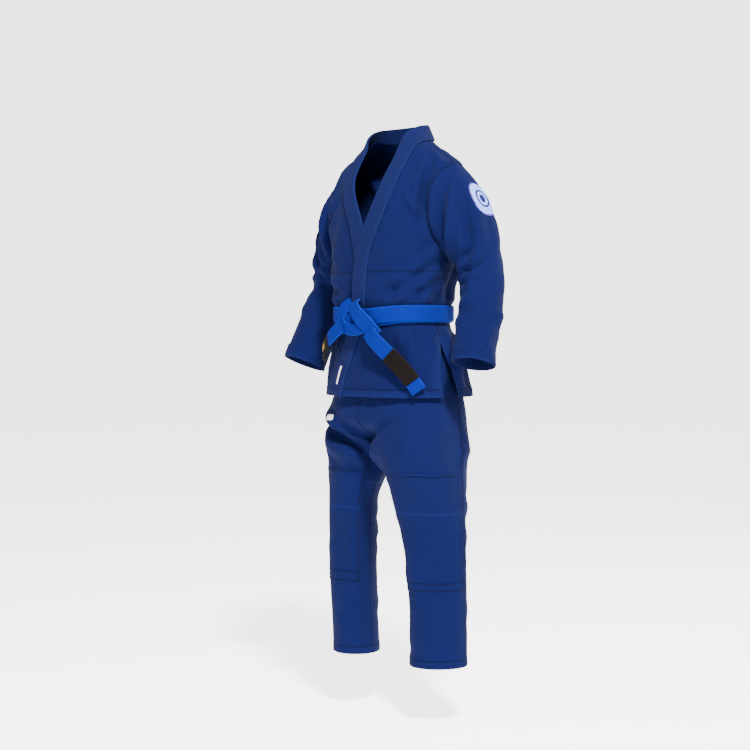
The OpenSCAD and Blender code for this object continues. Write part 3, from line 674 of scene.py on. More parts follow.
rest = trousers.points.copy()
amount = fold_amount(rest, trouser_folds())
calm = 0.45 + 0.55 * smooth((rest[:, 2] - 0.58) / 0.10)
uneven = 0.0060 * ripple(rest, (6, 6, 3.5), 5.3) + 0.0022 * ripple(rest, (22, 22, 16), 1.9)
amount = amount * (0.55 + 0.45 * calm) + calm * uneven
crease = 1 - 2 * np.abs(ripple(rest, (12, 12, 8), 2.2))
busy = np.exp(-((rest[:, 2] - 0.72) / 0.07) ** 2) + 0.6 * np.exp(-((rest[:, 2] - 0.46) / 0.06) ** 2)
amount += calm * (0.0016 + 0.0036 * np.clip(busy, 0, 1)) * (crease ** 3 - 0.4)
amount *= 1 - 0.9 * smooth((rest[:, 2] - 0.84) / 0.06)
trousers.move(amount)
trousers.relax(1, keep=trousers.border()[0].astype(float))


# ---------- strips and patches ----------

def line_of(points, normals, step=0.0045, closed=False):
    points, normals = np.array(points, float), np.array(normals, float)
    if closed:
        points, normals = np.vstack([points, points[:1]]), np.vstack([normals, normals[:1]])
    run = np.concatenate([[0], np.cumsum(np.linalg.norm(np.diff(points, axis=0), axis=1))])
    keep = np.concatenate([[True], np.diff(run) > 1e-6])
    rows = np.column_stack([run, points, normals])[keep]
    v = curve(np.linspace(0, run[-1], max(4, int(run[-1] / step))), rows)
    return v[:, :3], unit(v[:, 3:])


def ribbon(name, points, normals, width, thick, base=0.0, rows=0, ridge=0.00035, closed=False, wear=True):
    """A flat woven strip with stitched rows, lying on a line with its underside base above it."""
    if closed:
        points, normals = points[:-1], normals[:-1]
    count = len(points)
    along = np.roll(points, -1, 0) - np.roll(points, 1, 0) if closed else np.gradient(points, axis=0)
    along = unit(along)
    across = unit(np.cross(normals, along))
    up = unit(np.cross(along, across))
    cols = max(8, 5 * rows)
    s = np.linspace(-1, 1, cols + 1)
    half = np.broadcast_to(np.asarray(width, float) / 2, (count,))[:, None]
    top = base + thick * (1 - 0.45 * np.abs(s) ** 12)
    if rows:
        top = top - ridge * (0.5 + 0.5 * np.cos(np.pi * rows * (s + 1)))
    low = np.full(cols + 1, base)
    ring = np.concatenate([s, s[::-1]])
    height = np.concatenate([top, low])
    p = (points[:, None] + across[:, None] * (ring * half)[..., None] + up[:, None] * height[None, :, None])
    run = np.concatenate([[0], np.cumsum(np.linalg.norm(np.diff(points, axis=0), axis=1))])
    m = len(ring)
    faces, uvs = [], []
    for i in range(count if closed else count - 1):
        n = (i + 1) % count
        v0, v1 = run[i], run[i] + (run[1] if n == 0 else run[n] - run[i])
        for j in range(m):
            k = (j + 1) % m
            u0, u1 = ring[j] * half[i, 0], ring[k] * half[i, 0]
            faces.append((i * m + j, n * m + j, n * m + k, i * m + k))
            uvs.append([(u0, v0), (u0, v1), (u1, v1), (u1, v0)])
    if not closed:
        for i, flip in ((0, False), (count - 1, True)):
            for j in range(cols):
                q = [i * m + j, i * m + j + 1, i * m + m - 2 - j, i * m + m - 1 - j]
                c = [(ring[a - i * m] * half[i, 0], run[i]) for a in q]
                faces.append(tuple(q[::-1] if flip else q))
                uvs.append(c[::-1] if flip else c)
    worn = np.tile(smooth((np.abs(ring) - 0.80) / 0.20), count) * (1 if wear else 0)
    return mesh_piece(name, p.reshape(-1, 3), faces, uvs, worn)


def slab(name, points, normals, uv, off, thick):
    """A patch of cloth over part of a grid, off above it."""
    rows, cols = points.shape[:2]
    edge = np.ones((rows, cols))
    edge[[0, -1], :] = 0.55
    edge[:, [0, -1]] = 0.55
    top = points + normals * (off + thick * edge)[..., None]
    low = points + normals * off
    total = rows * cols
    ids = np.arange(total).reshape(rows, cols)
    a, b, c, d = ids[:-1, :-1], ids[:-1, 1:], ids[1:, 1:], ids[1:, :-1]
    quads = np.stack([a, b, c, d], -1).reshape(-1, 4)
    n = np.cross(points[:-1, 1:] - points[:-1, :-1], points[1:, :-1] - points[:-1, :-1])
    if (n * normals[:-1, :-1]).sum() < 0:
        quads = quads[:, ::-1]
    flat = uv.reshape(-1, 2)
    faces = [tuple(q) for q in quads] + [tuple(v + total for v in q[::-1]) for q in quads]
    uvs = [[flat[v % total] for v in f] for f in faces]
    pairs = {}
    for q in quads:
        for k in range(4):
            e = (q[k], q[(k + 1) % 4])
            pairs[tuple(sorted(e))] = None if tuple(sorted(e)) in pairs else e
    for e in pairs.values():
        if e:
            faces.append((e[1], e[0], e[0] + total, e[1] + total))
            uvs.append([flat[e[1]], flat[e[0]], flat[e[0]], flat[e[1]]])
    worn = np.tile((edge < 1).astype(float).ravel(), 2)
    return mesh_piece(name, np.concatenate([top.reshape(-1, 3), low.reshape(-1, 3)]), faces, uvs, worn)


def sub(shell, grid, rows, cols):
    p, n = shell.grid(grid)
    return p[rows, cols], n[rows, cols], shell.grids[grid]["uv"][rows, cols]


INNER = -CLOTH_T - 0.0002


def declare(uv_points):
    """Works out a cloth piece's flat size, which is that of its grid before it was folded; the size is not used."""
    p, uv = uv_points
    w, l = np.ptp(uv[..., 0]), np.ptp(uv[..., 1])


def grid_cut(shell, name, rows=slice(None), cols=slice(None)):
    g = shell.grids[name]
    return g["rest"][rows, cols], g["uv"][rows, cols]


def length_of(points):
    return float(np.linalg.norm(np.diff(points, axis=0), axis=1).sum())


# ---------- materials ----------

def feed(tree, node, inputs):
    """Sets a node's inputs, by name or number, to a value or to the socket that each is fed from."""
    for key, value in inputs.items():
        if isinstance(value, bpy.types.NodeSocket):
            tree.links.new(value, node.inputs[key])
        else:
            node.inputs[key].default_value = value
    return node


def add(tree, kind, inputs, **settings):
    node = tree.nodes.new("ShaderNode" + kind)
    for key, value in settings.items():
        setattr(node, key, value)
    return feed(tree, node, inputs)


def material(name):
    mat = bpy.data.materials.new(name)
    mat.use_nodes = True
    return mat, mat.node_tree, mat.node_tree.nodes["Principled BSDF"]


def cloth(name, dark, light, worn, pitch=0.0024, depth=0.00035, rough=0.95, sheen=0.05, turn=0.0):
    """Woven cotton: two sets of ribs, uneven dye, and a paler edge where it has been handled."""
    mat, tree, shader = material(name)

    def combine(operation, a, b):
        return add(tree, "Math", {0: a, 1: b}, operation=operation).outputs[0]

    def mix(share, a, b):
        return add(tree, "Mix", {0: share, 6: a, 7: b}, data_type="RGBA").outputs[2]

    uv = add(tree, "UVMap", {}, uv_map="UVMap").outputs[0]
    turned = add(tree, "Mapping", {"Rotation": (0, 0, turn), 0: uv}).outputs[0]
    rib = {"Scale": 0.314 / pitch, "Distortion": 0.6, "Detail Scale": 1.5, "Vector": turned}
    weave = combine("MULTIPLY", *[add(tree, "TexWave", rib, bands_direction=way).outputs["Fac"] for way in "XY"])
    fuzz = add(tree, "TexNoise", {"Scale": 420, "Detail": 3, "Vector": uv}).outputs["Fac"]
    bump = add(tree, "Bump", {"Strength": 0.55, "Distance": depth, "Height": combine("ADD", weave, fuzz)})
    place = add(tree, "TexCoord", {}).outputs["Object"]
    dye = add(tree, "TexNoise", {"Scale": 7, "Detail": 6, "Roughness": 0.6, "Vector": place}).outputs["Fac"]
    edge = add(tree, "Attribute", {}, attribute_name="wear").outputs["Fac"]
    colour = mix(dye, (*dark, 1), (*light, 1))
    colour = mix(combine("MULTIPLY", weave, 0.35), colour, (*light, 1))
    colour = mix(combine("MULTIPLY", edge, fuzz), colour, (*worn, 1))
    feed(tree, shader, {
        "Base Color": colour, "Normal": bump.outputs[0], "Roughness": rough, "Specular IOR Level": 0.08,
        "Sheen Weight": sheen, "Sheen Roughness": 0.45,
        "Sheen Tint": (light[0] * 2 + 0.1, light[1] * 2 + 0.15, min(1, light[2] * 2 + 0.2), 1)})
    return mat


TWILL = {"pitch": 0.0016, "depth": 0.00022}
BLUE = cloth("jacket_weave", (0.0008, 0.0019, 0.0225), (0.0017, 0.0034, 0.0355), (0.0030, 0.0058, 0.050))
LEG_BLUE = cloth("trouser_twill", (0.0010, 0.0023, 0.0245), (0.0019, 0.0038, 0.0375), (0.0032, 0.0064, 0.052),
                 turn=0.6, **TWILL)
LAPEL_BLUE = cloth("lapel_twill", (0.0016, 0.0029, 0.0240), (0.0029, 0.0050, 0.0370), (0.0040, 0.0072, 0.047),
                   turn=0.8, **TWILL)
TAPE_BLUE = cloth("tape_twill", (0.0009, 0.0020, 0.0220), (0.0017, 0.0034, 0.0335), (0.0030, 0.0060, 0.048),
                  pitch=0.0012, depth=0.0002, turn=0.8)
THREAD_BLUE = cloth("stitching", (0.0006, 0.0013, 0.0150), (0.0012, 0.0024, 0.0245), (0.0022, 0.0046, 0.036),
                    pitch=0.0030, depth=0.0004)
BELT_BLUE = cloth("belt_weave", (0.0001, 0.0042, 0.086), (0.0002, 0.0074, 0.128), (0.0010, 0.0180, 0.190),
                  pitch=0.0018, depth=0.0003, sheen=0.02)
CORE_WHITE = cloth("belt_core_cotton", (0.55, 0.53, 0.47), (0.66, 0.64, 0.58), (0.7, 0.68, 0.62))
RUBBER = cloth("lapel_foam", (0.010, 0.010, 0.011), (0.016, 0.016, 0.017), (0.03, 0.03, 0.03), sheen=0)
BAR_BLACK = cloth("rank_bar_cotton", (0.0018, 0.0010, 0.0008), (0.0034, 0.0019, 0.0016), (0.008, 0.005, 0.004),
                  pitch=0.0036, depth=0.0008, sheen=0.02)
BADGE_PALE = cloth("badge_embroidery", (0.150, 0.205, 0.640), (0.200, 0.270, 0.740), (0.4, 0.45, 0.7), pitch=0.0011)
BADGE_RIM = cloth("badge_rim", (0.030, 0.026, 0.170), (0.050, 0.042, 0.240), (0.10, 0.09, 0.32), pitch=0.0015)
BADGE_MARK = cloth("badge_mark", (0.003, 0.006, 0.048), (0.006, 0.010, 0.066), (0.02, 0.03, 0.10), pitch=0.0012)
LABEL_NAVY = cloth("woven_label", (0.0002, 0.0004, 0.022), (0.0004, 0.0008, 0.036), (0.001, 0.002, 0.05),
                   pitch=0.0009, depth=0.00015, sheen=0.02, rough=0.6)
LABEL_PALE = cloth("pale_label", (0.45, 0.45, 0.48), (0.56, 0.56, 0.60), (0.6, 0.6, 0.64), pitch=0.0010)
LABEL_GOLD = cloth("gold_label", (0.200, 0.105, 0.012), (0.320, 0.170, 0.022), (0.4, 0.26, 0.06), pitch=0.0016)
BRASS, tree, shader = material("eyelet_brass")
grain = add(tree, "TexNoise", {"Scale": 160}).outputs["Fac"]
gloss = add(tree, "MapRange", {"To Min": 0.28, "To Max": 0.50, "Value": grain}).outputs["Result"]
feed(tree, shader, {"Metallic": 1.0, "Base Color": (0.16, 0.15, 0.14, 1), "Roughness": gloss})

# Each cloth's material and finish.
JACKET_CLOTH, TROUSER_CLOTH, TAPE = (BLUE, "jacket_cloth"), (LEG_BLUE, "trouser_cloth"), (TAPE_BLUE, "twill_tape")
BELT_CLOTH, THREAD, PALE = (BELT_BLUE, "belt_cloth"), (THREAD_BLUE, "thread"), (LABEL_PALE, "pale_label")


# ---------- how pieces move ----------


def sleeve_zone(side):
    """The ends of a straight ramp over the lower part of the shoulder, which starts near its common ring with the upper
    part; nothing blends the cloth along it.
    """
    rows = np.array([[0.200, 1.204 + LIFT, 1], [0.234, 1.426 + LIFT, 1], [0.213, 1.155 + LIFT, 1]])
    a, b, c = np.linalg.solve(rows, [0.05, 0.22, 1.0])
    size = a * a + b * b
    start = np.array([-a * c / size, 0.0, -b * c / size])
    end = start + np.array([a, 0.0, b]) / size
    way = 1 if side == "left" else -1
    return (start[0] * way, 0, start[2]), (end[0] * way, 0, end[2])


def move_with(piece, how):
    part, _, side = how.partition(" ")
    if part == "root":
        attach(piece, "root")
    elif part == "shoulder":
        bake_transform(piece)
    elif part == "cap":
        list(sleeve_zone(side))
        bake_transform(piece)
    elif part == "elbow":
        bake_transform(piece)
    elif part == "hip":
        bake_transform(piece)
    elif part == "knee":
        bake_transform(piece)
    elif part == "skirt":
        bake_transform(piece)
    else:
        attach(piece, part)


def dress(piece, mat, finish, how, *nodes):
    piece.data.materials.append(mat)
    move_with(piece, how)
    if nodes:
        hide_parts(*nodes)
    return piece


def panel(shell, look, name, grid, rows, how, nodes, rests_on):
    """The cloth between two rows of a shell's grid, as a piece of its own."""
    piece = dress(shell.piece(name, [(grid, rows)]), *look, how, *nodes)
    stop = None if rows.stop is None else rows.stop + 1
    declare(grid_cut(shell, grid, slice(rows.start, stop)))


def patch(look, name, surface, off, thick, how, node, rests_on):
    """A layer more, off above a surface of points, normals and plan coordinates."""
    p, n, uv = surface
    piece = dress(slab(name, p, n, uv, off, thick), *look, how, node)
    declare((p, uv))


def lining(look, name, surface, how, node, rests_on, thick=TAPE_T):
    patch(look, name, surface, INNER - thick, thick, how, node, rests_on)


def gusset(shell, grid, rows, half, spacing):
    """The cloth round a grid's first column, half columns to each side, as a surface."""
    points, normals = shell.grid(grid)
    k = range(-half, half + 1)
    uv = np.stack(np.meshgrid(np.arange(2 * half + 1) * spacing, np.arange(rows.stop - rows.start) * CELL), -1)
    return points[rows][:, k], normals[rows][:, k], uv


def band(name, shell, grid, row, width, thick, how, mat=THREAD_BLUE, base=0.0, rows_of=2, ridge=0.00035):
    """Stitching all round a sleeve or leg, along one row of its grid."""
    points, normals = shell.grid(grid)
    line = line_of(points[row, :-1], normals[row, :-1], closed=True)
    dress(ribbon(name, *line, width, thick, base, rows=rows_of, ridge=ridge, closed=True), mat, "thread", how)


def seam(name, shell, grid, rows, cols, how, width=0.006, rows_of=1, base=0.0):
    p, n = shell.grid(grid)
    line = line_of(p[rows, cols].reshape(-1, 3), n[rows, cols].reshape(-1, 3))
    dress(ribbon(name, *line, width, SEAM_T, base, rows=rows_of, ridge=0.0004), *THREAD, how)


# ---------- jacket pieces ----------

BELT_ROW = skirt_row(1.033)
VENT_ROWS = slice(skirt_row(1.02), -6)
EVERY = slice(None)
for side in SIDES:
    panel(jacket, JACKET_CLOTH, "jacket_%s_chest_cloth" % side, side + "_chest", EVERY, "root",
          ["jacket_%s_chest" % side], "belt_outer_wrap_cloth")
    panel(jacket, JACKET_CLOTH, "jacket_%s_front_cloth" % side, side + "_front", EVERY, "root",
          ["jacket_%s_front_lower" % side], "jacket_%s_chest_cloth" % side)
for name, grid, rows, how, node, rests_on in (
        ("jacket_back_upper_cloth", "back_upper", EVERY, "root", "jacket_back_upper", "jacket_left_chest_cloth"),
        ("jacket_back_lower_cloth", "back_lower", slice(0, BELT_ROW), "root", "jacket_back_lower",
         "jacket_back_upper_cloth"),
        ("back_skirt_cloth", "back_lower", slice(BELT_ROW, None), "skirt", "back_skirt", "jacket_back_lower_cloth")):
    panel(jacket, JACKET_CLOTH, name, grid, rows, how, [node], rests_on)

for side in SIDES:
    a, b, c, d = SLEEVE_ROWS[side]
    name = side + "_sleeve"
    for label, r0, r1, how, nodes in (("shoulder", a, b, "shoulder " + side, [name + "_upper"]),
                                      ("upper", b, c, "cap " + side, []),
                                      ("lower", c, d, "elbow " + side, [name + "_lower"])):
        panel(jacket, JACKET_CLOTH, "%s_%s_cloth" % (name, label), name, slice(r0, r1), how, nodes,
              "jacket_back_upper_cloth")
    # The hem turned in at the cuff: the tape inside, and its stitched band outside.
    lining(TAPE, side + "_cuff_tape_cloth", sub(jacket, name, slice(d - 4, d + 1), EVERY), "elbow " + side,
           side + "_cuff_tape", name + "_lower_cloth")
    band(side + "_cuff_stitching", jacket, name, d - 3, 0.032, 0.0007, "elbow " + side, BLUE, 0.0001, 6, 0.0005)
    band(side + "_armhole_seam", jacket, name, 1, 0.008, 0.0009, "shoulder " + side, ridge=0.0004)
    lining(JACKET_CLOTH, side + "_armpit_gusset_cloth", gusset(jacket, name, slice(1, 11), 6, 0.009),
           "shoulder " + side, side + "_armpit_gusset", name + "_shoulder_cloth")
    # A second layer inside the shoulder.
    cols = slice(1, 22) if side == "left" else slice(N_BACK - 21, N_BACK)
    lining(JACKET_CLOTH, side + "_shoulder_lining_cloth", sub(jacket, "back_upper", slice(34, 54), cols), "root",
           side + "_shoulder_lining", "jacket_back_upper_cloth")

# Tapes inside the hems and patches beside the vents.
for side in SIDES:
    name, front_cloth = side + "_front", "jacket_%s_front_cloth" % side
    lining(TAPE, name + "_hem_tape_cloth", sub(jacket, name, slice(-6, None), slice(2, N_FRONT - 1)), "root",
           name + "_hem_tape", front_cloth)
    lining(JACKET_CLOTH, side + "_vent_front_patch_cloth", sub(jacket, name, VENT_ROWS, slice(-6, None)), "root",
           side + "_vent_front_patch", front_cloth)
    cols = slice(0, 6) if side == "left" else slice(N_BACK - 5, None)
    lining(JACKET_CLOTH, side + "_vent_back_patch_cloth", sub(jacket, "back_lower", VENT_ROWS, cols), "skirt",
           side + "_vent_back_patch", "back_skirt_cloth")
lining(TAPE, "back_hem_tape_cloth", sub(jacket, "back_lower", slice(-6, None), slice(1, N_BACK)), "skirt",
       "back_hem_tape", "back_skirt_cloth")

for side in SIDES:
    seam(side + "_chest_seam", jacket, side + "_chest", 0, slice(2, None), "root", 0.005)
    seam(side + "_side_seam", jacket, side + "_front", slice(0, skirt_row(VENT_H)), -1, "root", 0.007)
    seam(side + "_shoulder_seam", jacket, side + "_chest", slice(N_SIDE + N_HOLE, -1), -1, "root", 0.008, 2)
    seam(side + "_front_hem_stitching", jacket, side + "_front", N_SKIRT - 3, slice(3, N_FRONT), "root", 0.005, 2)
seam("back_chest_seam", jacket, "back_upper", 0, EVERY, "root", 0.005)
seam("back_hem_stitching", jacket, "back_lower", N_SKIRT - 3, slice(1, N_BACK), "skirt", 0.005, 2)

# ---------- lapel ----------


def surface_line(points_at, z, off=0.0):
    """Points of a front's edge with their outward normals."""
    p = points_at(z, 0.0)
    across = points_at(z, 0.6) - p
    along = points_at(z + 0.002, 0.0) - p
    n = unit(np.cross(along, across))
    n *= np.sign((n * (p - inside(p))).sum(-1, keepdims=True))
    return p + n * off, n


def edge_surface(side):
    way = 1 if side == "left" else -1

    def at(z, turn):
        return front_surface(side, angle_at_x(way * edge_x(side, z), z) + turn, z)
    return at


LAPEL_W, LAPEL_T = 0.047, 0.0060
NECK = [((0.0835, -0.014, 1.5290), (0.72, -0.34, 0.60)), ((0.0835, 0.020, 1.5440), (0.86, -0.05, 0.50)),
        ((0.0750, 0.056, 1.5500), (0.84, 0.36, 0.40)), ((0.0520, 0.084, 1.5540), (0.55, 0.74, 0.38)),
        ((0.0250, 0.098, 1.5560), (0.26, 0.89, 0.36))]
z_rows = np.linspace(HEM_H + 0.001, 1.500, 90)
left_p, left_n = surface_line(edge_surface("left"), z_rows)
right_p, right_n = surface_line(edge_surface("right"), z_rows)
neck_p = np.array([p for p, n in NECK])
neck_n = np.array([n for p, n in NECK])
flip = np.array([-1, 1, 1])
lapel_p = np.concatenate([right_p, neck_p * flip, [[0, 0.102, 1.5565]], neck_p[::-1], left_p[::-1]])
lapel_n = np.concatenate([right_n, neck_n * flip, [[0, 0.93, 0.36]], neck_n[::-1], left_n[::-1]])
lapel_line = line_of(lapel_p, lapel_n, step=0.005)
piece = ribbon("lapel_band_cloth", *lapel_line, LAPEL_W, LAPEL_T, 0.0006, rows=9, ridge=0.00045)
dress(piece, LAPEL_BLUE, "lapel_cloth", "root", "lapel_cover")
length_of(lapel_line[0])
piece = ribbon("lapel_foam_core", *[v[3:-3] for v in lapel_line], LAPEL_W - 0.012, 0.0030, 0.0022)
dress(piece, RUBBER, "lapel_rubber", "root", "lapel_core")
z_label = np.linspace(0.872, 0.938, 14)
line = surface_line(edge_surface("left"), z_label, LAPEL_T + 0.0006)
piece = ribbon("lapel_woven_label", *line, 0.027, 0.0009, 0.0)
dress(piece, LABEL_NAVY, "dark_label", "root", "lapel_label")
line = surface_line(edge_surface("left"), np.linspace(0.881, 0.929, 12), LAPEL_T + 0.0015)
piece = ribbon("lapel_label_stripe", *line, 0.0065, 0.0003)
dress(piece, *PALE, "root")

# ---------- belt ----------

BELT_W, BELT_T = 0.042, 0.0042


def belt_place(x, h, off):
    """A point in front of the waist at x, off the jacket's surface, and its outward normal."""
    x, h, off = (np.asarray(v, float) for v in (x, h, off))
    p = around(angle_at_x(x, 0 * x + BELT_H), 0 * x + BELT_H, off=off)
    q = around(angle_at_x(x, 0 * x + BELT_H) + 1, 0 * x + BELT_H, off=off)
    n = unit(np.cross(q - p, np.array([0, 0, 1.0])))
    p[..., 2] = h
    return p, n


def belt_ring(drop, lift):
    t = np.arange(0, 360, 3.0)
    ring = around(t, 0 * t + BELT_H)
    front = np.sin(np.radians(t)) < 0
    over = smooth(1 - (np.abs(ring[:, 0] + 0.008) - 0.024) / 0.024) * front
    right = smooth(1 - (np.abs(ring[:, 0] - 0.030) - 0.030) / 0.030) * front
    off = 0.0012 + lift + 0.0072 * np.maximum(over, 0.45 * right)
    height = BELT_H + 0.003 + 0.010 * smooth(np.abs(ring[:, 0]) / 0.14)
    height -= drop * (0.35 + 0.65 * front * smooth(1 - np.abs(ring[:, 0] - 0.03) / 0.12))
    p = around(t, 0 * t + BELT_H, off=off)
    q = around(t + 1, 0 * t + BELT_H, off=off)
    n = unit(np.cross(q - p, np.array([0, 0, 1.0])))
    p[:, 2] = height
    return line_of(p, n, closed=True)


for name, drop, lift, node in (("inner", 0.0085, 0.0, "belt_inner_wrap"), ("outer", 0.0, 0.0046, "belt_outer_wrap")):
    ring = belt_ring(drop, lift)
    piece = ribbon("belt_%s_wrap_cloth" % name, *ring, BELT_W, BELT_T, rows=8, ridge=0.0005, closed=True)
    dress(piece, *BELT_CLOTH, "root", node)
    length_of(ring[0])


def knot_strap(name, knots, width, thick, *nodes):
    x, h, off, wide = (np.array(v, float) for v in zip(*knots))
    p, n = belt_place(x, h, off)
    line = line_of(p, n, step=0.003)
    share = np.linspace(0, 1, len(line[0]))
    widths = curve(share, np.column_stack([np.linspace(0, 1, len(wide)), wide]))[:, 0] * width
    piece = ribbon(name, *line, widths, thick, rows=8, ridge=0.0005)
    dress(piece, *BELT_CLOTH, "root", *nodes)
    length_of(line[0])


# Knots of the straps: x, height, distance off the jacket, share of the width.
knot_strap("belt_knot_loop",
           [(-0.020, 1.098, 0.006, 0.9), (-0.036, 1.080, 0.0190, 0.95), (-0.046, 1.060, 0.0215, 0.95),
            (-0.040, 1.040, 0.0225, 0.9), (-0.020, 1.028, 0.0225, 0.88), (0.006, 1.026, 0.0215, 0.9),
            (0.032, 1.034, 0.0195, 0.95), (0.058, 1.047, 0.0145, 1.0)], 0.036, BELT_T, "belt_knot")
knot_strap("belt_knot_flap",
           [(-0.006, 1.102, 0.004, 1.0), (0.000, 1.088, 0.0200, 1.0), (0.016, 1.068, 0.0270, 1.0),
            (0.036, 1.048, 0.0250, 1.0), (0.050, 1.032, 0.0228, 1.0), (0.060, 1.020, 0.0230, 1.0),
            (0.069, 1.009, 0.0240, 1.0)], 0.041, BELT_T)
knot_strap("belt_knot_under",
           [(-0.008, 1.050, 0.0185, 1.0), (-0.030, 1.044, 0.0175, 1.0), (-0.052, 1.034, 0.0150, 1.0)], 0.038, BELT_T)

TAIL_Y = -0.1535
# The belt's ends: x, distance behind TAIL_Y, height, and the outward normal.
TAILS = {
    "left": [(0.060, 0, 1.020, 0.10, -1, 0.10), (0.072, 0, 1.006, 0.15, -1, 0.10),
             (0.096, 0.007, 0.982, 0.25, -1, 0.15), (0.122, 0.019, 0.955, 0.40, -1, 0.15),
             (0.146, 0.033, 0.927, 0.55, -1, 0.10), (0.166, 0.048, 0.898, 0.70, -1, 0.05),
             (0.182, 0.062, 0.868, 0.80, -1, 0.0)],
    "right": [(-0.040, -0.001, 1.036, -0.15, -1, 0.10), (-0.050, -0.002, 1.030, -0.20, -1, 0.10),
              (-0.074, -0.002, 1.014, -0.30, -1, 0.10), (-0.098, 0.003, 0.998, -0.50, -1, 0.10),
              (-0.120, 0.013, 0.983, -0.70, -1, 0.05), (-0.138, 0.025, 0.969, -0.90, -1, 0.0),
              (-0.151, 0.037, 0.957, -1.0, -1, 0.0)],
}
for side, rows in TAILS.items():
    rows = np.array(rows) + (0, TAIL_Y, 0, 0, 0, 0)
    line = line_of(rows[:, :3], rows[:, 3:], step=0.004)
    body, tail_cloth = side + "_belt_end", "belt_%s_tail_cloth" % side

    def stretch(start, end):
        """The line between two shares of its points."""
        return [v[int(len(v) * start):int(len(v) * end)] for v in line]

    piece = ribbon(tail_cloth, *line, 0.041, 0.0048, -0.0024, rows=8, ridge=0.0005)
    dress(piece, *BELT_CLOTH, body, "belt_%s_tail" % side)
    length_of(line[0])
    core = [v[3:-3] for v in line]
    piece = ribbon("belt_%s_core_cotton" % side, *core, 0.034, 0.0024, -0.0012)
    dress(piece, CORE_WHITE, "belt_core", body, "belt_%s_tail_core" % side)
    length_of(core[0])
    if side == "left":
        wraps = [("belt_rank_bar_cloth", stretch(0.41, 0.875), 0.0435, 0.0068, -0.0034, 0.050, BAR_BLACK, "rank_bar",
                  ["belt_rank_bar"])]
    else:
        wraps = [("belt_right_end_cover", stretch(0.45, 1), 0.0430, 0.0064, -0.0032, 0.049, BAR_BLACK, "rank_bar", []),
                 ("belt_woven_label", stretch(0.66, 0.82), 0.016, 0.0008, 0.0032, 0.016, LABEL_GOLD, "gold_label",
                  ["belt_label"])]
    for name, part, width, thick, base, flat_width, mat, finish, nodes in wraps:
        piece = dress(ribbon(name, *part, width, thick, base), mat, finish, body, *nodes)
        length_of(part[0])

# ---------- badge and trousers ----------


def sample(shell, grid, i, j):
    """Points and normals between a grid's own, at fractional rows and columns."""
    p, n = shell.grid(grid)
    i, j = np.clip(i, 0, p.shape[0] - 1.001), np.clip(j, 0, p.shape[1] - 1.001)
    a, b = i.astype(int), j.astype(int)
    u, v = (i - a)[..., None], (j - b)[..., None]
    out = []
    for g in (p, n):
        out.append(g[a, b] * (1 - u) * (1 - v) + g[a + 1, b] * u * (1 - v) + g[a, b + 1] * (1 - u) * v
                   + g[a + 1, b + 1] * u * v)
    return out[0], unit(out[1])


def oval(shell, grid, i0, j0, wide, tall, inner=0.02, rings=7, power=2.4):
    """A patch of polar form round a grid place: points, normals and plan coordinates."""
    p, _ = shell.grid(grid)
    i, j = int(i0), int(j0)
    di = np.linalg.norm(p[i + 1, j] - p[i, j])
    dj = np.linalg.norm(p[i, j + 1] - p[i, j])
    r, a = np.meshgrid(np.linspace(inner, 1, rings), np.linspace(0, 2 * np.pi, 49), indexing="ij")
    e = 2 / power
    x, y = r * wide / 2 * spow(np.cos(a), e), r * tall / 2 * spow(np.sin(a), e)
    points, normals = sample(shell, grid, i0 + y / di, j0 + x / dj)
    return points, normals, np.stack([x, y], -1)


p, _ = jacket.grid("left_sleeve")
row = int(np.argmin(np.abs(p[:, 36, 2] - 1.362)))
for label, wide, tall, inner, off, mat, power in (("field", 0.074, 0.092, 0.02, 0.0006, BADGE_PALE, 2.6),
                                                  ("rim", 0.079, 0.097, 0.91, 0.0008, BADGE_RIM, 2.6),
                                                  ("ring", 0.050, 0.050, 0.80, 0.0016, BADGE_MARK, 2.0),
                                                  ("disc", 0.022, 0.022, 0.05, 0.0016, BADGE_MARK, 2.0)):
    points, normals, uv = oval(jacket, "left_sleeve", row, 35.0, wide, tall, inner, power=power)
    piece = slab("sleeve_badge_" + label, points, normals, uv, off, 0.0011)
    dress(piece, mat, "badge", "cap left", *(["sleeve_badge"] if label == "field" else []))
    if label == "field":
        declare((points, uv))

SEAT_END = LEG_ROWS["left"][0][1]  # the row at the crotch, the same on both sides
seat_parts = [(side + "_leg", slice(0, SEAT_END)) for side in SIDES]
piece = dress(trousers.piece("trousers_seat_cloth", seat_parts), *TROUSER_CLOTH, "root", "trousers_seat",
              "left_hip_panel", "right_hip_panel")
(p, uv), (q, _) = [grid_cut(trousers, side + "_leg", slice(0, SEAT_END + 1)) for side in SIDES]
declare((np.concatenate([p, q], 1), np.concatenate([uv, uv + (np.ptp(uv[..., 0]), 0)], 1)))

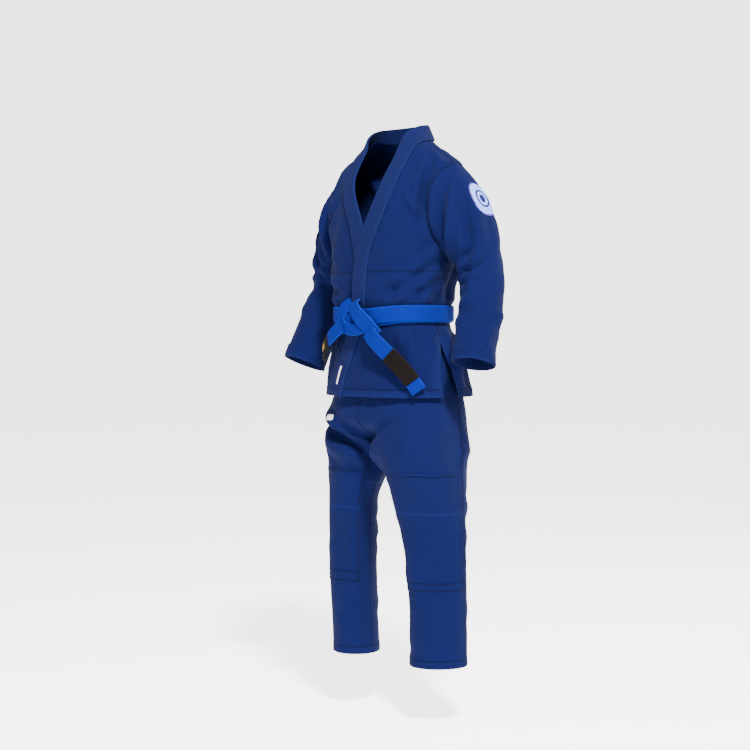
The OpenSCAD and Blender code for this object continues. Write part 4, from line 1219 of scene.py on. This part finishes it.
PATCH_COLS = (8, 52)  # from the inner seam to the side seam
SIDE_SEAM_COL = 53
SIDE_SEAM_TOP_H, LEG_SEAM_LOW_H = 0.960, 0.156
for side in SIDES:
    name = side + "_leg"
    at, heights = LEG_ROWS[side]
    hip, knee = "hip " + side, "knee " + side
    for label, r0, r1, how in (("upper", at[1], at[2], hip), ("lower", at[2], at[3], knee)):
        panel(trousers, TROUSER_CLOTH, "%s_%s_cloth" % (name, label), name, slice(r0, r1), how,
              ["%s_%s" % (name, label)], "trousers_seat_cloth")

    def height_row(h, heights=heights):
        return int(np.argmin(np.abs(heights - h)))

    # The knee patch: one layer more over the front of the leg.
    u0, u1 = PATCH_COLS
    for label, top, low, how in (("upper", PATCH_TOP_H, KNEE_H, hip), ("lower", KNEE_H, PATCH_LOW_H, knee)):
        a, b = height_row(top), height_row(low)
        node = "%s_knee_patch_%s" % (side, label)
        patch(TROUSER_CLOTH, node + "_cloth", sub(trousers, name, slice(a, b + 1), slice(u0, u1)), 0.0002, PATCH_T,
              how, node, "%s_%s_cloth" % (name, label))
        for col, tag in ((u0 + 1, "inner"), (u1 - 2, "outer")):
            seam("%s_patch_%s_%s_stitching" % (side, label, tag), trousers, name, slice(a + 1, b), col, how, 0.005, 2,
                 TAPE_T)
    for label, row, how, width in (("top", height_row(PATCH_TOP_H) + 1, hip, 0.006),
                                   ("low", height_row(PATCH_LOW_H) - 1, knee, 0.006),
                                   ("mid", height_row(PATCH_FOLD_H), knee, 0.004)):
        seam("%s_patch_%s_stitching" % (side, label), trousers, name, row, slice(u0, u1), how, width, 2, TAPE_T)
    spans = (("seat", SIDE_SEAM_TOP_H, CROTCH_H, "root"), ("upper", CROTCH_H, KNEE_H, hip),
             ("lower", KNEE_H, LEG_SEAM_LOW_H, knee))
    for label, h0, h1, how in spans:
        seam("%s_side_seam_%s" % (name, label), trousers, name, slice(height_row(h0), height_row(h1) + 1),
             SIDE_SEAM_COL, how, 0.009, 2)
    for label, h0, h1, how in spans[1:]:
        seam("%s_inseam_%s" % (side, label), trousers, name, slice(height_row(h0) + 1, height_row(h1) + 1), 0, how)
    band(name + "_hem_edge", trousers, name, -2, 0.012, 0.0007, knee, LEG_BLUE)
    band(name + "_hem_stitching", trousers, name, -4, 0.005, 0.0007, knee)
    lining(TAPE, side + "_ankle_tape_cloth", sub(trousers, name, slice(-5, None), EVERY), knee, side + "_ankle_tape",
           name + "_lower_cloth")
    # Half of the diamond between the legs.
    patch(TROUSER_CLOTH, "crotch_gusset_%s_cloth" % side,
          gusset(trousers, name, slice(at[1] + 1, at[1] + 14), 7, 0.0075), 0.0002, 0.0010, hip,
          "crotch_gusset_" + side, name + "_upper_cloth")
for label, col in (("front", 0), ("back", -1)):
    seam(label + "_centre_seam", trousers, "left_leg", slice(10, SEAT_END - 2), col, "root", 0.006, 2)

ring = around(np.linspace(-90, 270, 121)[None], np.linspace(1.020, 1.064, 8)[:, None], SEAT, 0.0)
uv = np.stack(np.meshgrid(np.linspace(0, 0.80, 121), np.linspace(0, 0.044, 8)), -1)
lining(TROUSER_CLOTH, "waistband_cloth", (ring, unit((ring - inside(ring)) * (1, 1, 0)), uv), "root", "waistband",
       "trousers_seat_cloth", 0.0014)

p, _ = trousers.grid("right_leg")
near = np.linalg.norm(p - HIP_LABEL, axis=2)
i, j = np.unravel_index(np.argmin(near), near.shape)
patch(PALE, "hip_woven_label", oval(trousers, "right_leg", float(i), float(j), 0.030, 0.020, power=8), 0.0004, 0.0008,
      "root", "hip_label", "trousers_seat_cloth")

for node, mat in (("waistband_eyelets", BRASS), ("drawstring_loops", TAPE_BLUE)):
    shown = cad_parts[node]
    shown.data.materials.clear()
    shown.data.materials.append(mat)
    if not shown.data.uv_layers.get("UVMap"):
        shown.data.uv_layers.new(name="UVMap")

# ---------- stage, lights and camera ----------

stage_mesh = bmesh.new()
bmesh.ops.create_circle(stage_mesh, cap_ends=True, segments=96, radius=40.0)
data = bpy.data.meshes.new("floor")
stage_mesh.to_mesh(data)
floor = bpy.data.objects.new("floor", data)
floor.location.z = LIFT
bpy.context.scene.collection.objects.link(floor)
floor_mat, tree, shader = material("floor_white")
feed(tree, shader, {"Base Color": (0.90, 0.90, 0.90, 1), "Roughness": 0.8, "Specular IOR Level": 0.1,
                    "Emission Color": (1, 1, 1, 1), "Emission Strength": 3.05})
data.materials.append(floor_mat)

world = bpy.data.worlds.new("studio")
bpy.context.scene.world = world
world.use_nodes = True
sky = world.node_tree
# A lit white backdrop stands to the wearer's right rear; the rest of the room is dimmer.
direction = add(sky, "TexCoord", {}).outputs["Generated"]
facing = add(sky, "VectorMath", {1: (-0.7071, 0.7071, 0), 0: direction}, operation="DOT_PRODUCT").outputs["Value"]
lit = add(sky, "MapRange", {"From Min": 0.82, "From Max": 0.95, "To Min": 0.22, "To Max": 3.4, "Value": facing},
          interpolation_type="SMOOTHSTEP").outputs["Result"]
feed(sky, sky.nodes["Background"], {"Color": (1, 1, 1, 1), "Strength": lit})


def stand(name, data, place):
    thing = bpy.data.objects.new(name, data)
    bpy.context.scene.collection.objects.link(thing)
    thing.location = place
    return thing


def area_light(name, place, aim, size, power):
    light = bpy.data.lights.new(name, "AREA")
    light.size = size
    light.energy = power
    turn = (Vector(aim) - Vector(place)).to_track_quat("-Z", "Y")
    stand(name, light, place).rotation_euler = turn.to_euler()


area_light("key", (2.7, -1.6, 3.7), (0, 0, 0.0), 0.6, 1050)
area_light("fill", (-0.4, -4.2, 1.4), (0, 0, -0.2), 2.2, 90)
area_light("rim", (0.8, 3.0, 1.8), (0, 0, 0.2), 1.6, 90)

# The camera stands 4 m away, to the wearer's left front, a little below the belt's height.
VIEW_AWAY, VIEW_H = 4.0, 1.022
camera = bpy.data.cameras.new("camera")
camera.lens = 71.57
camera.sensor_width = 36
camera.shift_x = -19 / 750
camera.shift_y = -44 / 750
eye = stand("camera", camera, (VIEW_AWAY * math.sqrt(0.5), -VIEW_AWAY * math.sqrt(0.5), VIEW_H + LIFT))
eye.rotation_euler = (math.radians(90), 0, math.radians(45))
bpy.context.scene.camera = eye
